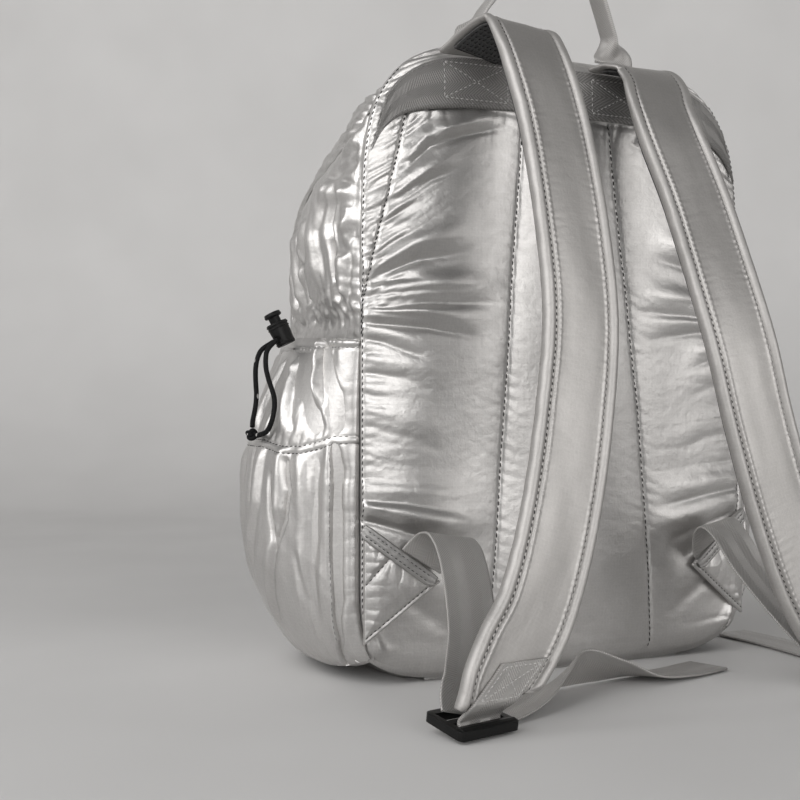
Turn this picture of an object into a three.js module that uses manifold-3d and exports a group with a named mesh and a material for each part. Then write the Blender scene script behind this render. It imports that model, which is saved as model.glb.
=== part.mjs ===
// Mini backpack, built as an assembly of sewn panels, straps, webbing and plastic hardware.
// Millimetres, +Z up. X is the width (left is -X), the strap side faces -Y, the front faces +Y,
// and the origin is the middle of the flat base.
import * as THREE from 'three';
import { mergeVertices } from 'three/addons/utils/BufferGeometryUtils.js';
import Module from 'manifold-3d';

const wasm = await Module();
wasm.setup();

// ---------------------------------------------------------------- driving sizes
const GAP = 0.35;              // air between pieces that touch on the real bag
const BACK_THICKNESS = 3.6;    // lightly padded back panel
const WALL = 1.8;              // side, front and gusset cloth
const POCKET_WALL = 1.4;
const BASE_WALL = 2.2;
const BACK_SEAM_Y = -60;
const BACK_PUFF = 5;           // how far the back panel swells between its seams
const RIDGE_HALF = 62;         // half length of the straight run over the top
const RIM_SLOT = 3.2;          // groove that shows the zip
const SIDE_SLOT = 0.6;         // sewn side/front seam below the zip
const BASE_RISE = 11;          // turned-up rim of the base
const WEBBING_WIDTH = 25;
const WEBBING_THICKNESS = 1.5;
const YOKE_THICKNESS = 1.8;
const STRAP_THICKNESS = 7.5;
const MESH_WIDTH = 33;
const MESH_THICKNESS = 2;
const TAB_THICKNESS = 2.4;
const STRAP_TAB_THICKNESS = 2.2;
const CORD_DIAMETER = 2.75;
const KNOT_DIAMETER = 8;
const LOCK_WIDTH = 13;
const LOCK_DEPTH = 10.5;
const LOCK_HEIGHT = 13;
const BUTTON_TRAVEL = 3;
const BUTTON_STEM = 6.4;
const LADDER_WIDTH = 35;
const LADDER_LENGTH = 27;
const LADDER_THICKNESS = 4.2;

// Body, a row for each height. The back outline runs (half width, height) along the back seam;
// the rim is the line where the side or gusset meets the front panel; the front column is the
// middle of the front. 'swell' is how far the side stands out, 'square' how boxy the front is.
const SECTIONS = [
  { backHalf: 115.0, backZ: 13, swell: 5.0, rimHalf: 108, rimZ: 4, rimY: 52, frontZ: 5, frontY: 63, square: 3.4, puff: 0.0 },
  { backHalf: 120.5, backZ: 38, swell: 8.0, rimHalf: 118, rimZ: 38, rimY: 58, frontZ: 38, frontY: 74, square: 3.2, puff: 1.0 },
  { backHalf: 121.0, backZ: 80, swell: 10.5, rimHalf: 122, rimZ: 80, rimY: 61, frontZ: 80, frontY: 79, square: 3.1, puff: 1.5 },
  { backHalf: 121.0, backZ: 130, swell: 10.0, rimHalf: 121, rimZ: 132, rimY: 60, frontZ: 130, frontY: 80, square: 3.0, puff: 2.0 },
  { backHalf: 121.0, backZ: 184, swell: 4.0, rimHalf: 117, rimZ: 190, rimY: 53, frontZ: 184, frontY: 76, square: 2.9, puff: 2.0 },
  { backHalf: 121.0, backZ: 220, swell: 9.0, rimHalf: 119, rimZ: 232, rimY: 44, frontZ: 222, frontY: 71, square: 2.8, puff: 2.5 },
  { backHalf: 120.5, backZ: 250, swell: 8.5, rimHalf: 119, rimZ: 260, rimY: 24, frontZ: 247, frontY: 64, square: 2.7, puff: 4.0 },
  { backHalf: 119.2, backZ: 274, swell: 4.0, rimHalf: 117.5, rimZ: 276, rimY: -12, frontZ: 266, frontY: 54, square: 2.6, puff: 6.0 },
  { backHalf: 115.0, backZ: 296, swell: 1.0, rimHalf: 112.5, rimZ: 294, rimY: -43, frontZ: 280, frontY: 42, square: 2.5, puff: 6.0 },
  { backHalf: 107.0, backZ: 312, swell: 0.5, rimHalf: 104, rimZ: 309.5, rimY: -46, frontZ: 291, frontY: 26, square: 2.4, puff: 5.0 },
  { backHalf: 95.0, backZ: 325, swell: 0.5, rimHalf: 92.5, rimZ: 321.5, rimY: -47, frontZ: 302, frontY: 6, square: 2.3, puff: 4.0 },
  { backHalf: 79.0, backZ: 333, swell: 0.5, rimHalf: 77.5, rimZ: 330, rimY: -47, frontZ: 315, frontY: -18, square: 2.2, puff: 2.5 },
  { backHalf: 62.0, backZ: 336, swell: 0.5, rimHalf: 62, rimZ: 333, rimY: -47, frontZ: 333, frontY: -47, square: 2.2, puff: 0.0 },
];
const CORNER_ROW = 8;          // the side panel ends and the top gusset starts here
const ZIP_ROW = 4.6;           // the zip ends here on each side

// Main dents (negative) and folds (positive). u and v run over the panel from 0 to 1;
// angle is measured from the u direction, sizes are in millimetres.
const FOLDS = [
  { panel: 'back', u: 0.14, v: 0.60, angle: 22, length: 44, width: 8, height: 3.2 },
  { panel: 'back', u: 0.15, v: 0.53, angle: 2, length: 46, width: 7, height: -2.6 },
  { panel: 'back', u: 0.14, v: 0.47, angle: -14, length: 42, width: 8, height: 2.6 },
  { panel: 'back', u: 0.86, v: 0.60, angle: -22, length: 44, width: 8, height: 3.2 },
  { panel: 'back', u: 0.85, v: 0.53, angle: -2, length: 46, width: 7, height: -2.6 },
  { panel: 'back', u: 0.86, v: 0.47, angle: 14, length: 42, width: 8, height: 2.6 },
  { panel: 'back', u: 0.16, v: 0.26, angle: -10, length: 34, width: 10, height: 2.4 },
  { panel: 'back', u: 0.84, v: 0.26, angle: 10, length: 34, width: 10, height: 2.4 },
  { panel: 'side', u: 0.34, v: 0.72, angle: 75, length: 34, width: 9, height: -2.6 },
  { panel: 'side', u: 0.62, v: 0.66, angle: 98, length: 30, width: 9, height: 2.4 },
  { panel: 'side', u: 0.20, v: 0.60, angle: 84, length: 22, width: 8, height: 1.8 },
  { panel: 'front', u: 0.30, v: 0.86, angle: -24, length: 46, width: 13, height: -4.0 },
  { panel: 'front', u: 0.70, v: 0.86, angle: 24, length: 46, width: 13, height: -4.0 },
  { panel: 'front', u: 0.50, v: 0.78, angle: 4, length: 70, width: 14, height: -3.0 },
  { panel: 'front', u: 0.42, v: 0.44, angle: 12, length: 60, width: 13, height: -2.6 },
  { panel: 'front', u: 0.60, v: 0.24, angle: -8, length: 60, width: 13, height: -2.6 },
  { panel: 'pocket', u: 0.30, v: 0.55, angle: 86, length: 50, width: 8, height: -2.4 },
  { panel: 'pocket', u: 0.55, v: 0.62, angle: 94, length: 46, width: 9, height: 2.2 },
  { panel: 'pocket', u: 0.76, v: 0.52, angle: 88, length: 44, width: 8, height: -2.2 },
];
const PANEL_SPAN = { back: [242, 330], side: [118, 285], front: [300, 340], pocket: [120, 168] };

// Side pocket, a row for each height: how far its cloth stands off the side panel.
const POCKET_ROWS = [
  { bodyRow: 0.08, stand: 3.5 },
  { bodyRow: 0.50, stand: 13.5 },
  { bodyRow: 1.30, stand: 22.0 },
  { bodyRow: 2.10, stand: 24.0 },
  { bodyRow: 2.80, stand: 22.5 },
  { bodyRow: 3.45, stand: 15.0 },
  { bodyRow: 3.90, stand: 6.5 },
];

// Yoke band, a row for each station from the middle to the side seam.
const YOKE_ROWS = [
  { upperX: 0, upperZ: 329.3, lowerX: 0, lowerZ: 302.5 },
  { upperX: 40, upperZ: 329.2, lowerX: 42, lowerZ: 302.3 },
  { upperX: 68, upperZ: 328.4, lowerX: 72, lowerZ: 300.8 },
  { upperX: 86, upperZ: 323.8, lowerX: 96, lowerZ: 296.6 },
  { upperX: 99, upperZ: 315.5, lowerX: 109, lowerZ: 288.0 },
  { upperX: 107.5, upperZ: 305.5, lowerX: 116.2, lowerZ: 276.0 },
];

// Shoulder strap, left side. Middle of the padding; 'yaw' and 'tip' turn its width away from X.
const STRAP_PATH = [
  { x: -60.7, y: -59.5, z: 326.8, width: 42, yaw: 0, tip: 0 },
  { x: -58.5, y: -66.7, z: 329.8, width: 42, yaw: 0, tip: 0 },
  { x: -56.3, y: -74, z: 333, width: 42, yaw: 0, tip: -2 },
  { x: -53.7, y: -82.5, z: 336, width: 42, yaw: 0, tip: -4 },
  { x: -51.3, y: -90.5, z: 338, width: 42, yaw: 0, tip: -5 },
  { x: -50, y: -97, z: 337.6, width: 42, yaw: 0, tip: -6 },
  { x: -49.8, y: -104, z: 331.5, width: 42, yaw: 0, tip: -6 },
  { x: -49, y: -115, z: 312, width: 42, yaw: 2, tip: -5 },
  { x: -46.5, y: -127, z: 278, width: 42, yaw: 4, tip: -3 },
  { x: -46, y: -140, z: 232, width: 42, yaw: 3, tip: -3 },
  { x: -47, y: -149, z: 185, width: 42, yaw: 2, tip: -6 },
  { x: -55, y: -155, z: 136, width: 42, yaw: 0, tip: -12 },
  { x: -66, y: -160, z: 92, width: 42, yaw: 0, tip: -20 },
  { x: -79.5, y: -164, z: 56, width: 42.5, yaw: 3, tip: -21 },
  { x: -93, y: -166.5, z: 35.5, width: 43, yaw: 5, tip: -18 },
  { x: -103.5, y: -168, z: 22, width: 39, yaw: 8, tip: -14 },
  { x: -110.5, y: -168.5, z: 12.5, width: 31, yaw: 10, tip: -12 },
  { x: -114, y: -168.7, z: 7.5, width: 27, yaw: 10, tip: -12 },
];
// The right strap lies lower over the top; its table is mirrored like the rest.
const STRAP_PATH_RIGHT = [
  { x: -31.5, y: -60, z: 329, width: 42, yaw: 0, tip: 0 },
  { x: -33.5, y: -68, z: 330, width: 42, yaw: 0, tip: 0 },
  { x: -35.5, y: -76, z: 330, width: 42, yaw: 0, tip: 0 },
  { x: -38, y: -84.5, z: 327, width: 42, yaw: 0, tip: 0 },
  { x: -38, y: -92.5, z: 318.5, width: 42, yaw: 0, tip: 0 },
  { x: -36, y: -99.5, z: 306, width: 42, yaw: 0, tip: 0 },
  { x: -36.5, y: -109, z: 286, width: 42, yaw: 2, tip: 0 },
  { x: -41.5, y: -122, z: 253, width: 42, yaw: 3, tip: 0 },
  { x: -44.5, y: -138, z: 212, width: 42, yaw: 3, tip: -3 },
  { x: -48.5, y: -149, z: 176, width: 42, yaw: 2, tip: -7 },
  { x: -55, y: -155, z: 136, width: 42, yaw: 0, tip: -12 },
  { x: -66, y: -160, z: 92, width: 42, yaw: 0, tip: -20 },
  { x: -79.5, y: -164, z: 56, width: 42.5, yaw: 3, tip: -21 },
  { x: -93, y: -166.5, z: 35.5, width: 43, yaw: 5, tip: -18 },
  { x: -103.5, y: -168, z: 22, width: 39, yaw: 8, tip: -14 },
  { x: -110.5, y: -168.5, z: 12.5, width: 31, yaw: 10, tip: -12 },
  { x: -114, y: -168.7, z: 7.5, width: 27, yaw: 10, tip: -12 },
];

// Adjusting webbing from the wing tab to the buckle, left side.
const ADJUST_PATH = [
  { x: -91.8, y: -69.2, z: 65, yaw: 0, tip: -40 },
  { x: -88, y: -73.5, z: 71.5, yaw: 0, tip: -32 },
  { x: -85.5, y: -79.5, z: 77, yaw: 0, tip: -18 },
  { x: -84.5, y: -87.5, z: 79, yaw: 0, tip: -8 },
  { x: -84.5, y: -98, z: 73, yaw: 0, tip: 0 },
  { x: -87, y: -111, z: 57, yaw: 0, tip: 3 },
  { x: -94, y: -129, z: 37.5, yaw: 2, tip: 2 },
  { x: -102.5, y: -141.5, z: 24, yaw: 8, tip: 0 },
  { x: -108.5, y: -147.5, z: 16, yaw: 14, tip: 0 },
];
// Free webbing ends on the floor. 'lean' stands the strip up on its edge.
const TAIL_LEFT = [
  { x: -106, y: -148, z: 1.3, lean: 0 },
  { x: -88, y: -141, z: 1.6, lean: 2 },
  { x: -68, y: -132, z: 3.2, lean: 10 },
  { x: -46, y: -119, z: 7.5, lean: 30 },
  { x: -22, y: -107, z: 11.6, lean: 56 },
  { x: 0, y: -106, z: 8.0, lean: 34 },
  { x: 22, y: -104, z: 3.2, lean: 8 },
  { x: 48, y: -99, z: 1.6, lean: 1 },
  { x: 74, y: -91, z: 1.4, lean: 0 },
];
const TAIL_RIGHT = [
  { x: 106, y: -148, z: 1.3, lean: 0 },
  { x: 119, y: -142.5, z: 1.3, lean: 0 },
  { x: 132, y: -134, z: 1.3, lean: 0 },
  { x: 143, y: -121, z: 1.3, lean: 0 },
  { x: 150, y: -103, z: 1.3, lean: 0 },
  { x: 153, y: -80, z: 1.3, lean: 0 },
  { x: 154, y: -52, z: 1.3, lean: 0 },
  { x: 152, y: -16, z: 1.3, lean: 0 },
];

// Haul loop from the left base over its leaning arch to the right base.
const HAUL_ROWS = [
  { x: -54, y: -58.2, z: 337.2, width: 25, thickness: 2.0 },
  { x: -54, y: -58.2, z: 341, width: 25, thickness: 2.0 },
  { x: -53.6, y: -58.8, z: 346, width: 21, thickness: 2.2 },
  { x: -51.8, y: -60, z: 353.5, width: 15, thickness: 3.4 },
  { x: -46.8, y: -61.5, z: 361, width: 13, thickness: 4.0 },
  { x: -39, y: -62.5, z: 370, width: 12.5, thickness: 4.2 },
  { x: -29, y: -63, z: 380, width: 12.5, thickness: 4.2 },
  { x: -17, y: -63, z: 388.5, width: 12.5, thickness: 4.2 },
  { x: -4, y: -63, z: 392, width: 12.5, thickness: 4.2 },
  { x: 8, y: -63, z: 389, width: 12.5, thickness: 4.2 },
  { x: 17.5, y: -62.5, z: 380, width: 12.5, thickness: 4.2 },
  { x: 23.5, y: -61.5, z: 368, width: 13, thickness: 4.0 },
  { x: 29, y: -60, z: 356, width: 15, thickness: 3.4 },
  { x: 33, y: -58.8, z: 347, width: 22, thickness: 2.2 },
  { x: 34.3, y: -58.2, z: 341.5, width: 25, thickness: 2.0 },
  { x: 34.3, y: -58.2, z: 337.2, width: 25, thickness: 2.0 },
];

// Hem drawcord, left side: the lock hangs at the hem and two strands meet in a knot.
const LOCK = { x: -141.6, y: 3.9, z: 184.6, leanX: -0.397, leanY: 0.185, leanZ: 0.899 };
const CORD_REAR = [
  { x: -146.8, y: 1.9, z: 180.0 },
  { x: -153.5, y: 2.8, z: 175.3 },
  { x: -155.6, y: 3.2, z: 170.9 },
  { x: -156.4, y: 3.6, z: 166.6 },
  { x: -156.5, y: 4.0, z: 161.7 },
  { x: -156.2, y: 4.2, z: 156.2 },
  { x: -155.9, y: 4.2, z: 150.8 },
  { x: -156.4, y: 3.8, z: 145.9 },
  { x: -157.5, y: 3.0, z: 141.0 },
  { x: -158.8, y: 1.8, z: 136.7 },
  { x: -159.5, y: 0.2, z: 133.6 },
];
const CORD_FRONT = [
  { x: -146.1, y: -1.2, z: 181.0 },
  { x: -151.5, y: -1.2, z: 175.2 },
  { x: -152.7, y: -2.0, z: 170.3 },
  { x: -153.0, y: -3.4, z: 165.3 },
  { x: -152.8, y: -6.4, z: 159.9 },
  { x: -152.3, y: -10.2, z: 154.5 },
  { x: -152.0, y: -13.6, z: 149.6 },
  { x: -152.5, y: -15.8, z: 144.8 },
  { x: -153.8, y: -17.2, z: 139.5 },
  { x: -155.0, y: -17.0, z: 135.3 },
  { x: -156.3, y: -14.4, z: 131.3 },
  { x: -159.1, y: -6.5, z: 128.9 },
];
const KNOT = { x: -160.5, y: -2.0, z: 129.4 };
const CORD_STEP = CORD_DIAMETER * 2.4;

// ---------------------------------------------------------------- small helpers
const clamp = (t, a, b) => Math.min(b, Math.max(a, t));
const lerp = (a, b, t) => a + (b - a) * t;
const smooth = (t) => { const c = clamp(t, 0, 1); return c * c * (3 - 2 * c); };
const radians = (d) => d * Math.PI / 180;

// Catmull-Rom reading of a table at a fractional row.
function at(table, position) {
  const last = table.length - 1;
  const p = clamp(position, 0, last);
  const i = Math.min(last - 1, Math.floor(p));
  const t = p - i;
  const r0 = table[Math.max(0, i - 1)], r1 = table[i], r2 = table[i + 1], r3 = table[Math.min(last, i + 2)];
  const out = {};
  for (const key of Object.keys(r1)) {
    const m1 = (r2[key] - r0[key]) / 2, m2 = (r3[key] - r1[key]) / 2;
    const t2 = t * t, t3 = t2 * t;
    out[key] = (2 * t3 - 3 * t2 + 1) * r1[key] + (t3 - 2 * t2 + t) * m1 + (3 * t2 - 2 * t3) * r2[key] + (t3 - t2) * m2;
  }
  return out;
}

function foldHeight(panel, u, v) {
  const [spanU, spanV] = PANEL_SPAN[panel];
  let sum = 0;
  for (const f of FOLDS) {
    if (f.panel !== panel) continue;
    const du = (u - f.u) * spanU, dv = (v - f.v) * spanV;
    const c = Math.cos(radians(f.angle)), s = Math.sin(radians(f.angle));
    const along = (du * c + dv * s) / f.length, across = (-du * s + dv * c) / f.width;
    sum += f.height * Math.exp(-along * along * 2 - across * across);
  }
  return sum;
}

function solidFrom(positions, indices) {
  const p = Float32Array.from(positions);
  let volume = 0;
  for (let i = 0; i < indices.length; i += 3) {
    const [a, b, c] = [indices[i] * 3, indices[i + 1] * 3, indices[i + 2] * 3];
    volume += p[a] * (p[b + 1] * p[c + 2] - p[b + 2] * p[c + 1])
      + p[a + 1] * (p[b + 2] * p[c] - p[b] * p[c + 2])
      + p[a + 2] * (p[b] * p[c + 1] - p[b + 1] * p[c]);
  }
  const out = volume < 0 ? indices.map((_, k) => indices[k % 3 === 1 ? k + 1 : k % 3 === 2 ? k - 1 : k]) : indices;
  const geometry = new THREE.BufferGeometry();
  geometry.setAttribute('position', new THREE.BufferAttribute(p, 3));
  geometry.setIndex(out);
  geometry.computeVertexNormals();
  return geometry;
}

// A closed wall: point(u, v) is its outer face, raised by lift(u, v), and the inner face lies
// 'thickness' behind it. 'inward' fixes that direction; without it the surface normal is used.
function wall({ point, lift = () => 0, nu, nv, thickness, outward, inward }) {
  const grid = [];
  const e = 1e-3;
  for (let j = 0; j <= nv; j++) for (let i = 0; i <= nu; i++) {
    const u = i / nu, v = j / nv;
    const p = new THREE.Vector3(...point(u, v));
    const du = new THREE.Vector3(...point(Math.min(1, u + e), v)).sub(new THREE.Vector3(...point(Math.max(0, u - e), v)));
    const dv = new THREE.Vector3(...point(u, Math.min(1, v + e))).sub(new THREE.Vector3(...point(u, Math.max(0, v - e))));
    const n = du.cross(dv).normalize();
    const hint = outward(p);
    if (n.dot(hint) < 0) n.negate();
    grid.push({ p: p.addScaledVector(n, lift(u, v)), n });
  }
  const positions = [];
  for (const g of grid) positions.push(g.p.x, g.p.y, g.p.z);
  for (const g of grid) {
    const q = inward ? g.p.clone().addScaledVector(inward, thickness) : g.p.clone().addScaledVector(g.n, -thickness);
    positions.push(q.x, q.y, q.z);
  }
  const id = (i, j, side) => side * (nu + 1) * (nv + 1) + j * (nu + 1) + i;
  const indices = [];
  const quad = (a, b, c, d) => indices.push(a, b, c, a, c, d);
  for (let j = 0; j < nv; j++) for (let i = 0; i < nu; i++) {
    quad(id(i, j, 0), id(i + 1, j, 0), id(i + 1, j + 1, 0), id(i, j + 1, 0));
    quad(id(i, j, 1), id(i, j + 1, 1), id(i + 1, j + 1, 1), id(i + 1, j, 1));
  }
  for (let i = 0; i < nu; i++) {
    quad(id(i, 0, 0), id(i, 0, 1), id(i + 1, 0, 1), id(i + 1, 0, 0));
    quad(id(i, nv, 0), id(i + 1, nv, 0), id(i + 1, nv, 1), id(i, nv, 1));
  }
  for (let j = 0; j < nv; j++) {
    quad(id(0, j, 0), id(0, j + 1, 0), id(0, j + 1, 1), id(0, j, 1));
    quad(id(nu, j, 0), id(nu, j, 1), id(nu, j + 1, 1), id(nu, j + 1, 0));
  }
  return solidFrom(positions, indices);
}

// A closed bar: the same closed section (a list of [w, n] pairs) carried along stations.
function sweep(stations, sectionAt) {
  const positions = [], indices = [];
  let count = 0;
  stations.forEach((s, k) => {
    const section = sectionAt(s, k);
    count = section.length;
    for (const [w, n] of section) {
      const q = s.centre.clone().addScaledVector(s.across, w).addScaledVector(s.normal, n);
      positions.push(q.x, q.y, q.z);
    }
  });
  for (let k = 0; k < stations.length - 1; k++) for (let i = 0; i < count; i++) {
    const a = k * count + i, b = k * count + (i + 1) % count;
    indices.push(a, b, b + count, a, b + count, a + count);
  }
  const end = (stations.length - 1) * count;
  for (let i = 1; i < count - 1; i++) {
    indices.push(0, i + 1, i);
    indices.push(end, end + i, end + i + 1);
  }
  return solidFrom(positions, indices);
}

// Stations along a table of points, with a width direction from its yaw and tip columns.
function stationsOf(table, steps, widthHint) {
  const stations = [];
  for (let k = 0; k <= steps; k++) {
    const position = k / steps * (table.length - 1);
    const row = at(table, position);
    const before = at(table, position - 0.02), after = at(table, position + 0.02);
    const tangent = new THREE.Vector3(after.x - before.x, after.y - before.y, after.z - before.z).normalize();
    const hint = widthHint(row);
    const across = hint.addScaledVector(tangent, -hint.dot(tangent)).normalize();
    const normal = tangent.clone().cross(across).normalize();
    stations.push({ centre: new THREE.Vector3(row.x, row.y, row.z), tangent, across, normal, row });
  }
  return stations;
}
const yawTip = (row) => new THREE.Vector3(
  Math.cos(radians(row.yaw)) * Math.cos(radians(row.tip)),
  Math.sin(radians(row.yaw)) * Math.cos(radians(row.tip)),
  Math.sin(radians(row.tip)),
);
const flatSection = (width, thickness) => [
  [-width / 2, -thickness / 2], [width / 2, -thickness / 2], [width / 2, thickness / 2], [-width / 2, thickness / 2],
];

// Mirror a left-hand geometry to the right.
function mirrored(geometry) {
  const copy = geometry.clone();
  const p = copy.getAttribute('position');
  for (let i = 0; i < p.count; i++) p.setX(i, -p.getX(i));
  if (copy.index) {
    const index = copy.index;
    for (let i = 0; i < index.count; i += 3) {
      const b = index.getX(i + 1);
      index.setX(i + 1, index.getX(i + 2));
      index.setX(i + 2, b);
    }
  } else {
    for (let i = 0; i < p.count; i += 3) {
      const b = [p.getX(i + 1), p.getY(i + 1), p.getZ(i + 1)];
      p.setXYZ(i + 1, p.getX(i + 2), p.getY(i + 2), p.getZ(i + 2));
      p.setXYZ(i + 2, ...b);
    }
  }
  copy.computeVertexNormals();
  return copy;
}

// ---------------------------------------------------------------- booleans
function toManifold(geometry) {
  let g = geometry.clone();
  g.deleteAttribute('normal');
  if (g.getAttribute('uv')) g.deleteAttribute('uv');
  g = mergeVertices(g, 1e-4);
  return new wasm.Manifold(new wasm.Mesh({
    numProp: 3,
    vertProperties: Float32Array.from(g.getAttribute('position').array),
    triVerts: Uint32Array.from(g.index.array),
  }));
}
function toGeometry(manifold) {
  const mesh = manifold.getMesh();
  const geometry = new THREE.BufferGeometry();
  geometry.setAttribute('position', new THREE.BufferAttribute(Float32Array.from(mesh.vertProperties), 3));
  geometry.setIndex(Array.from(mesh.triVerts));
  geometry.computeVertexNormals();
  return geometry;
}

// ---------------------------------------------------------------- body shell
const LAST = SECTIONS.length - 1;

function backPoint(u, v) {
  const row = at(SECTIONS, v * LAST);
  const side = 2 * u - 1;
  // the lower edge hangs to the floor between the corners
  const drop = (1 - smooth(v * LAST / 1.1)) * (1 - Math.pow(Math.abs(side), 7)) * (SECTIONS[0].backZ - 1);
  const swell = BACK_PUFF * (1 - Math.pow(Math.abs(side), 4)) * smooth(v * 7) * smooth((1 - v) * 4.5);
  return [side * row.backHalf, BACK_SEAM_Y - swell, row.backZ - drop];
}

// The outer face of the back panel above or below a given place.
function backFaceY(x, z) {
  let low = 0, high = 1;
  for (let k = 0; k < 30; k++) {
    const mid = (low + high) / 2;
    if (backPoint(0.5 + 0.5 * clamp(x / 121, -1, 1), mid)[2] < z) low = mid; else high = mid;
  }
  const u = clamp(0.5 + 0.5 * x / at(SECTIONS, low * LAST).backHalf, 0, 1);
  return backPoint(u, low)[1] - Math.max(0, foldHeight('back', u, low) * smooth(u * 14) * smooth((1 - u) * 14));
}

// One side or gusset point: q runs from the back seam (0) to the rim (1).
function ringPoint(side, position, q) {
  const row = at(SECTIONS, position);
  const a = at(SECTIONS, position - 0.05), b = at(SECTIONS, position + 0.05);
  const out = new THREE.Vector2(b.backZ - a.backZ, -(b.backHalf - a.backHalf));
  if (position > LAST - 0.1) out.set(0, 1);
  out.normalize();
  const stand = row.swell * Math.pow(Math.sin(Math.PI * clamp(q, 0, 1)), 0.8);
  const y0 = BACK_SEAM_Y + BACK_THICKNESS + GAP;
  const edge = Math.pow(q, 0.9);
  const low = 1 - smooth(position / 1.1);
  const down = lerp(edge, 1 - Math.pow(1 - clamp(q, 0, 1), 5), low);
  return [
    side * (lerp(row.backHalf, row.rimHalf, edge) + stand * out.x),
    lerp(y0, row.rimY, q),
    lerp(row.backZ, row.rimZ, down) + stand * out.y,
  ];
}

function slotAt(position) {
  return lerp(SIDE_SLOT, RIM_SLOT, smooth((position - ZIP_ROW + 0.6) / 0.8));
}

function frontPoint(u, v) {
  const row = at(SECTIONS, v * LAST);
  const angle = Math.PI * u;
  const c = Math.cos(angle), s = Math.sin(angle);
  const power = 2 / row.square;
  const reach = Math.pow(Math.max(0, s), power);
  const slot = slotAt(v * LAST) / 2;
  const swell = row.puff * Math.pow(Math.max(0, s), 0.5) * Math.pow(Math.abs(c), 0.8);
  return [
    -Math.sign(c) * Math.pow(Math.abs(c), power) * row.rimHalf - Math.sign(c) * swell * 0.8,
    lerp(row.rimY + slot, row.frontY, reach),
    lerp(row.rimZ, row.frontZ, Math.pow(Math.max(0, s), 1.2)) + swell * 0.6 * smooth((v - 0.55) * 3),
  ];
}

const centreOfBag = new THREE.Vector3(0, 0, 150);
const awayFromCentre = (p) => p.clone().sub(centreOfBag).multiply(new THREE.Vector3(1, 1.2, 0.6));
const towardFront = new THREE.Vector3(0, 1, 0);

function backPanel() {
  return wall({
    point: backPoint,
    lift: (u, v) => foldHeight('back', u, v) * smooth(u * 14) * smooth((1 - u) * 14),
    nu: 22, nv: 26, thickness: BACK_THICKNESS,
    outward: () => new THREE.Vector3(0, -1, 0), inward: towardFront,
  });
}

function sidePanel() {
  return wall({
    point: (u, v) => {
      const position = v * (CORNER_ROW - 0.02);
      const length = at(SECTIONS, position).rimY - BACK_SEAM_Y;
      return ringPoint(-1, position, u * (1 - slotAt(position) / 2 / length));
    },
    lift: (u, v) => foldHeight('side', u, v) * Math.sin(Math.PI * u),
    nu: 10, nv: 24, thickness: WALL,
    outward: () => new THREE.Vector3(-1, 0, 0.15),
  });
}

// The gusset and the zip both follow the top from one side to the other: s runs from -1 to 1.
function topPosition(s, lowRow) {
  const straight = 0.36;
  const a = Math.abs(s);
  if (a <= straight) return { side: 0, x: s / straight * RIDGE_HALF, position: LAST };
  return { side: Math.sign(s), position: lerp(LAST, lowRow, (a - straight) / (1 - straight)) };
}
function topPoint(s, lowRow, q) {
  const t = topPosition(s, lowRow);
  if (t.side !== 0) return ringPoint(t.side, t.position, q);
  const [, y, z] = ringPoint(1, LAST, q);
  return [t.x, y, z];
}

function topGusset() {
  const low = CORNER_ROW + 0.03;
  return wall({
    point: (u, v) => topPoint(2 * u - 1, low, v * 0.86),
    nu: 32, nv: 3, thickness: WALL,
    outward: (p) => new THREE.Vector3(p.x * 0.4, 0, p.z - 200),
  });
}

function frontPanel() {
  return wall({
    point: frontPoint,
    lift: (u, v) => foldHeight('front', u, v) * Math.sin(Math.PI * u),
    nu: 26, nv: 24, thickness: WALL,
    outward: awayFromCentre,
  });
}

// Plain closed zip: a strip just inside the groove between gusset and front panel.
function mainZip() {
  const half = 4.2;
  return wall({
    point: (u, v) => {
      const t = topPosition(2 * u - 1, ZIP_ROW);
      const row = at(SECTIONS, t.position);
      const x = t.side === 0 ? t.x : t.side * row.rimHalf;
      const before = t.side === 0 ? [0, 1] : (() => {
        const a = at(SECTIONS, t.position - 0.05), b = at(SECTIONS, t.position + 0.05);
        const n = new THREE.Vector2(b.rimZ - a.rimZ, a.rimHalf - b.rimHalf).normalize();
        return [n.x * t.side, n.y];
      })();
      const sink = WALL + 3.0;
      return [x - before[0] * sink, row.rimY + (v * 2 - 1) * half, row.rimZ - before[1] * sink];
    },
    nu: 38, nv: 1, thickness: 1.2,
    outward: (p) => new THREE.Vector3(p.x * 0.8, 0, p.z - 190),
  });
}

function basePanel() {
  const halfX = SECTIONS[0].backHalf - WALL - 1.8, backY = BACK_SEAM_Y + BACK_THICKNESS + 0.9;
  const frontY = SECTIONS[0].frontY - WALL - 2.2;
  const midY = (backY + frontY) / 2, halfY = (frontY - backY) / 2;
  return wall({
    point: (u, v) => {
      const a = 2 * u - 1, b = 2 * v - 1;
      const round = 0.13;
      const x = halfX * a * (1 - round * Math.pow(b, 4) * Math.pow(a, 2));
      const y = midY + halfY * b * (1 - round * Math.pow(a, 4));
      const edge = Math.max(Math.abs(a), b, Math.abs(a) > 0.8 ? -b : 0);
      return [x, y, BASE_RISE * smooth((edge - 0.84) / 0.16)];
    },
    nu: 18, nv: 14, thickness: BASE_WALL,
    outward: () => new THREE.Vector3(0, 0, -1), inward: new THREE.Vector3(0, 0, 1),
  });
}

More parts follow.
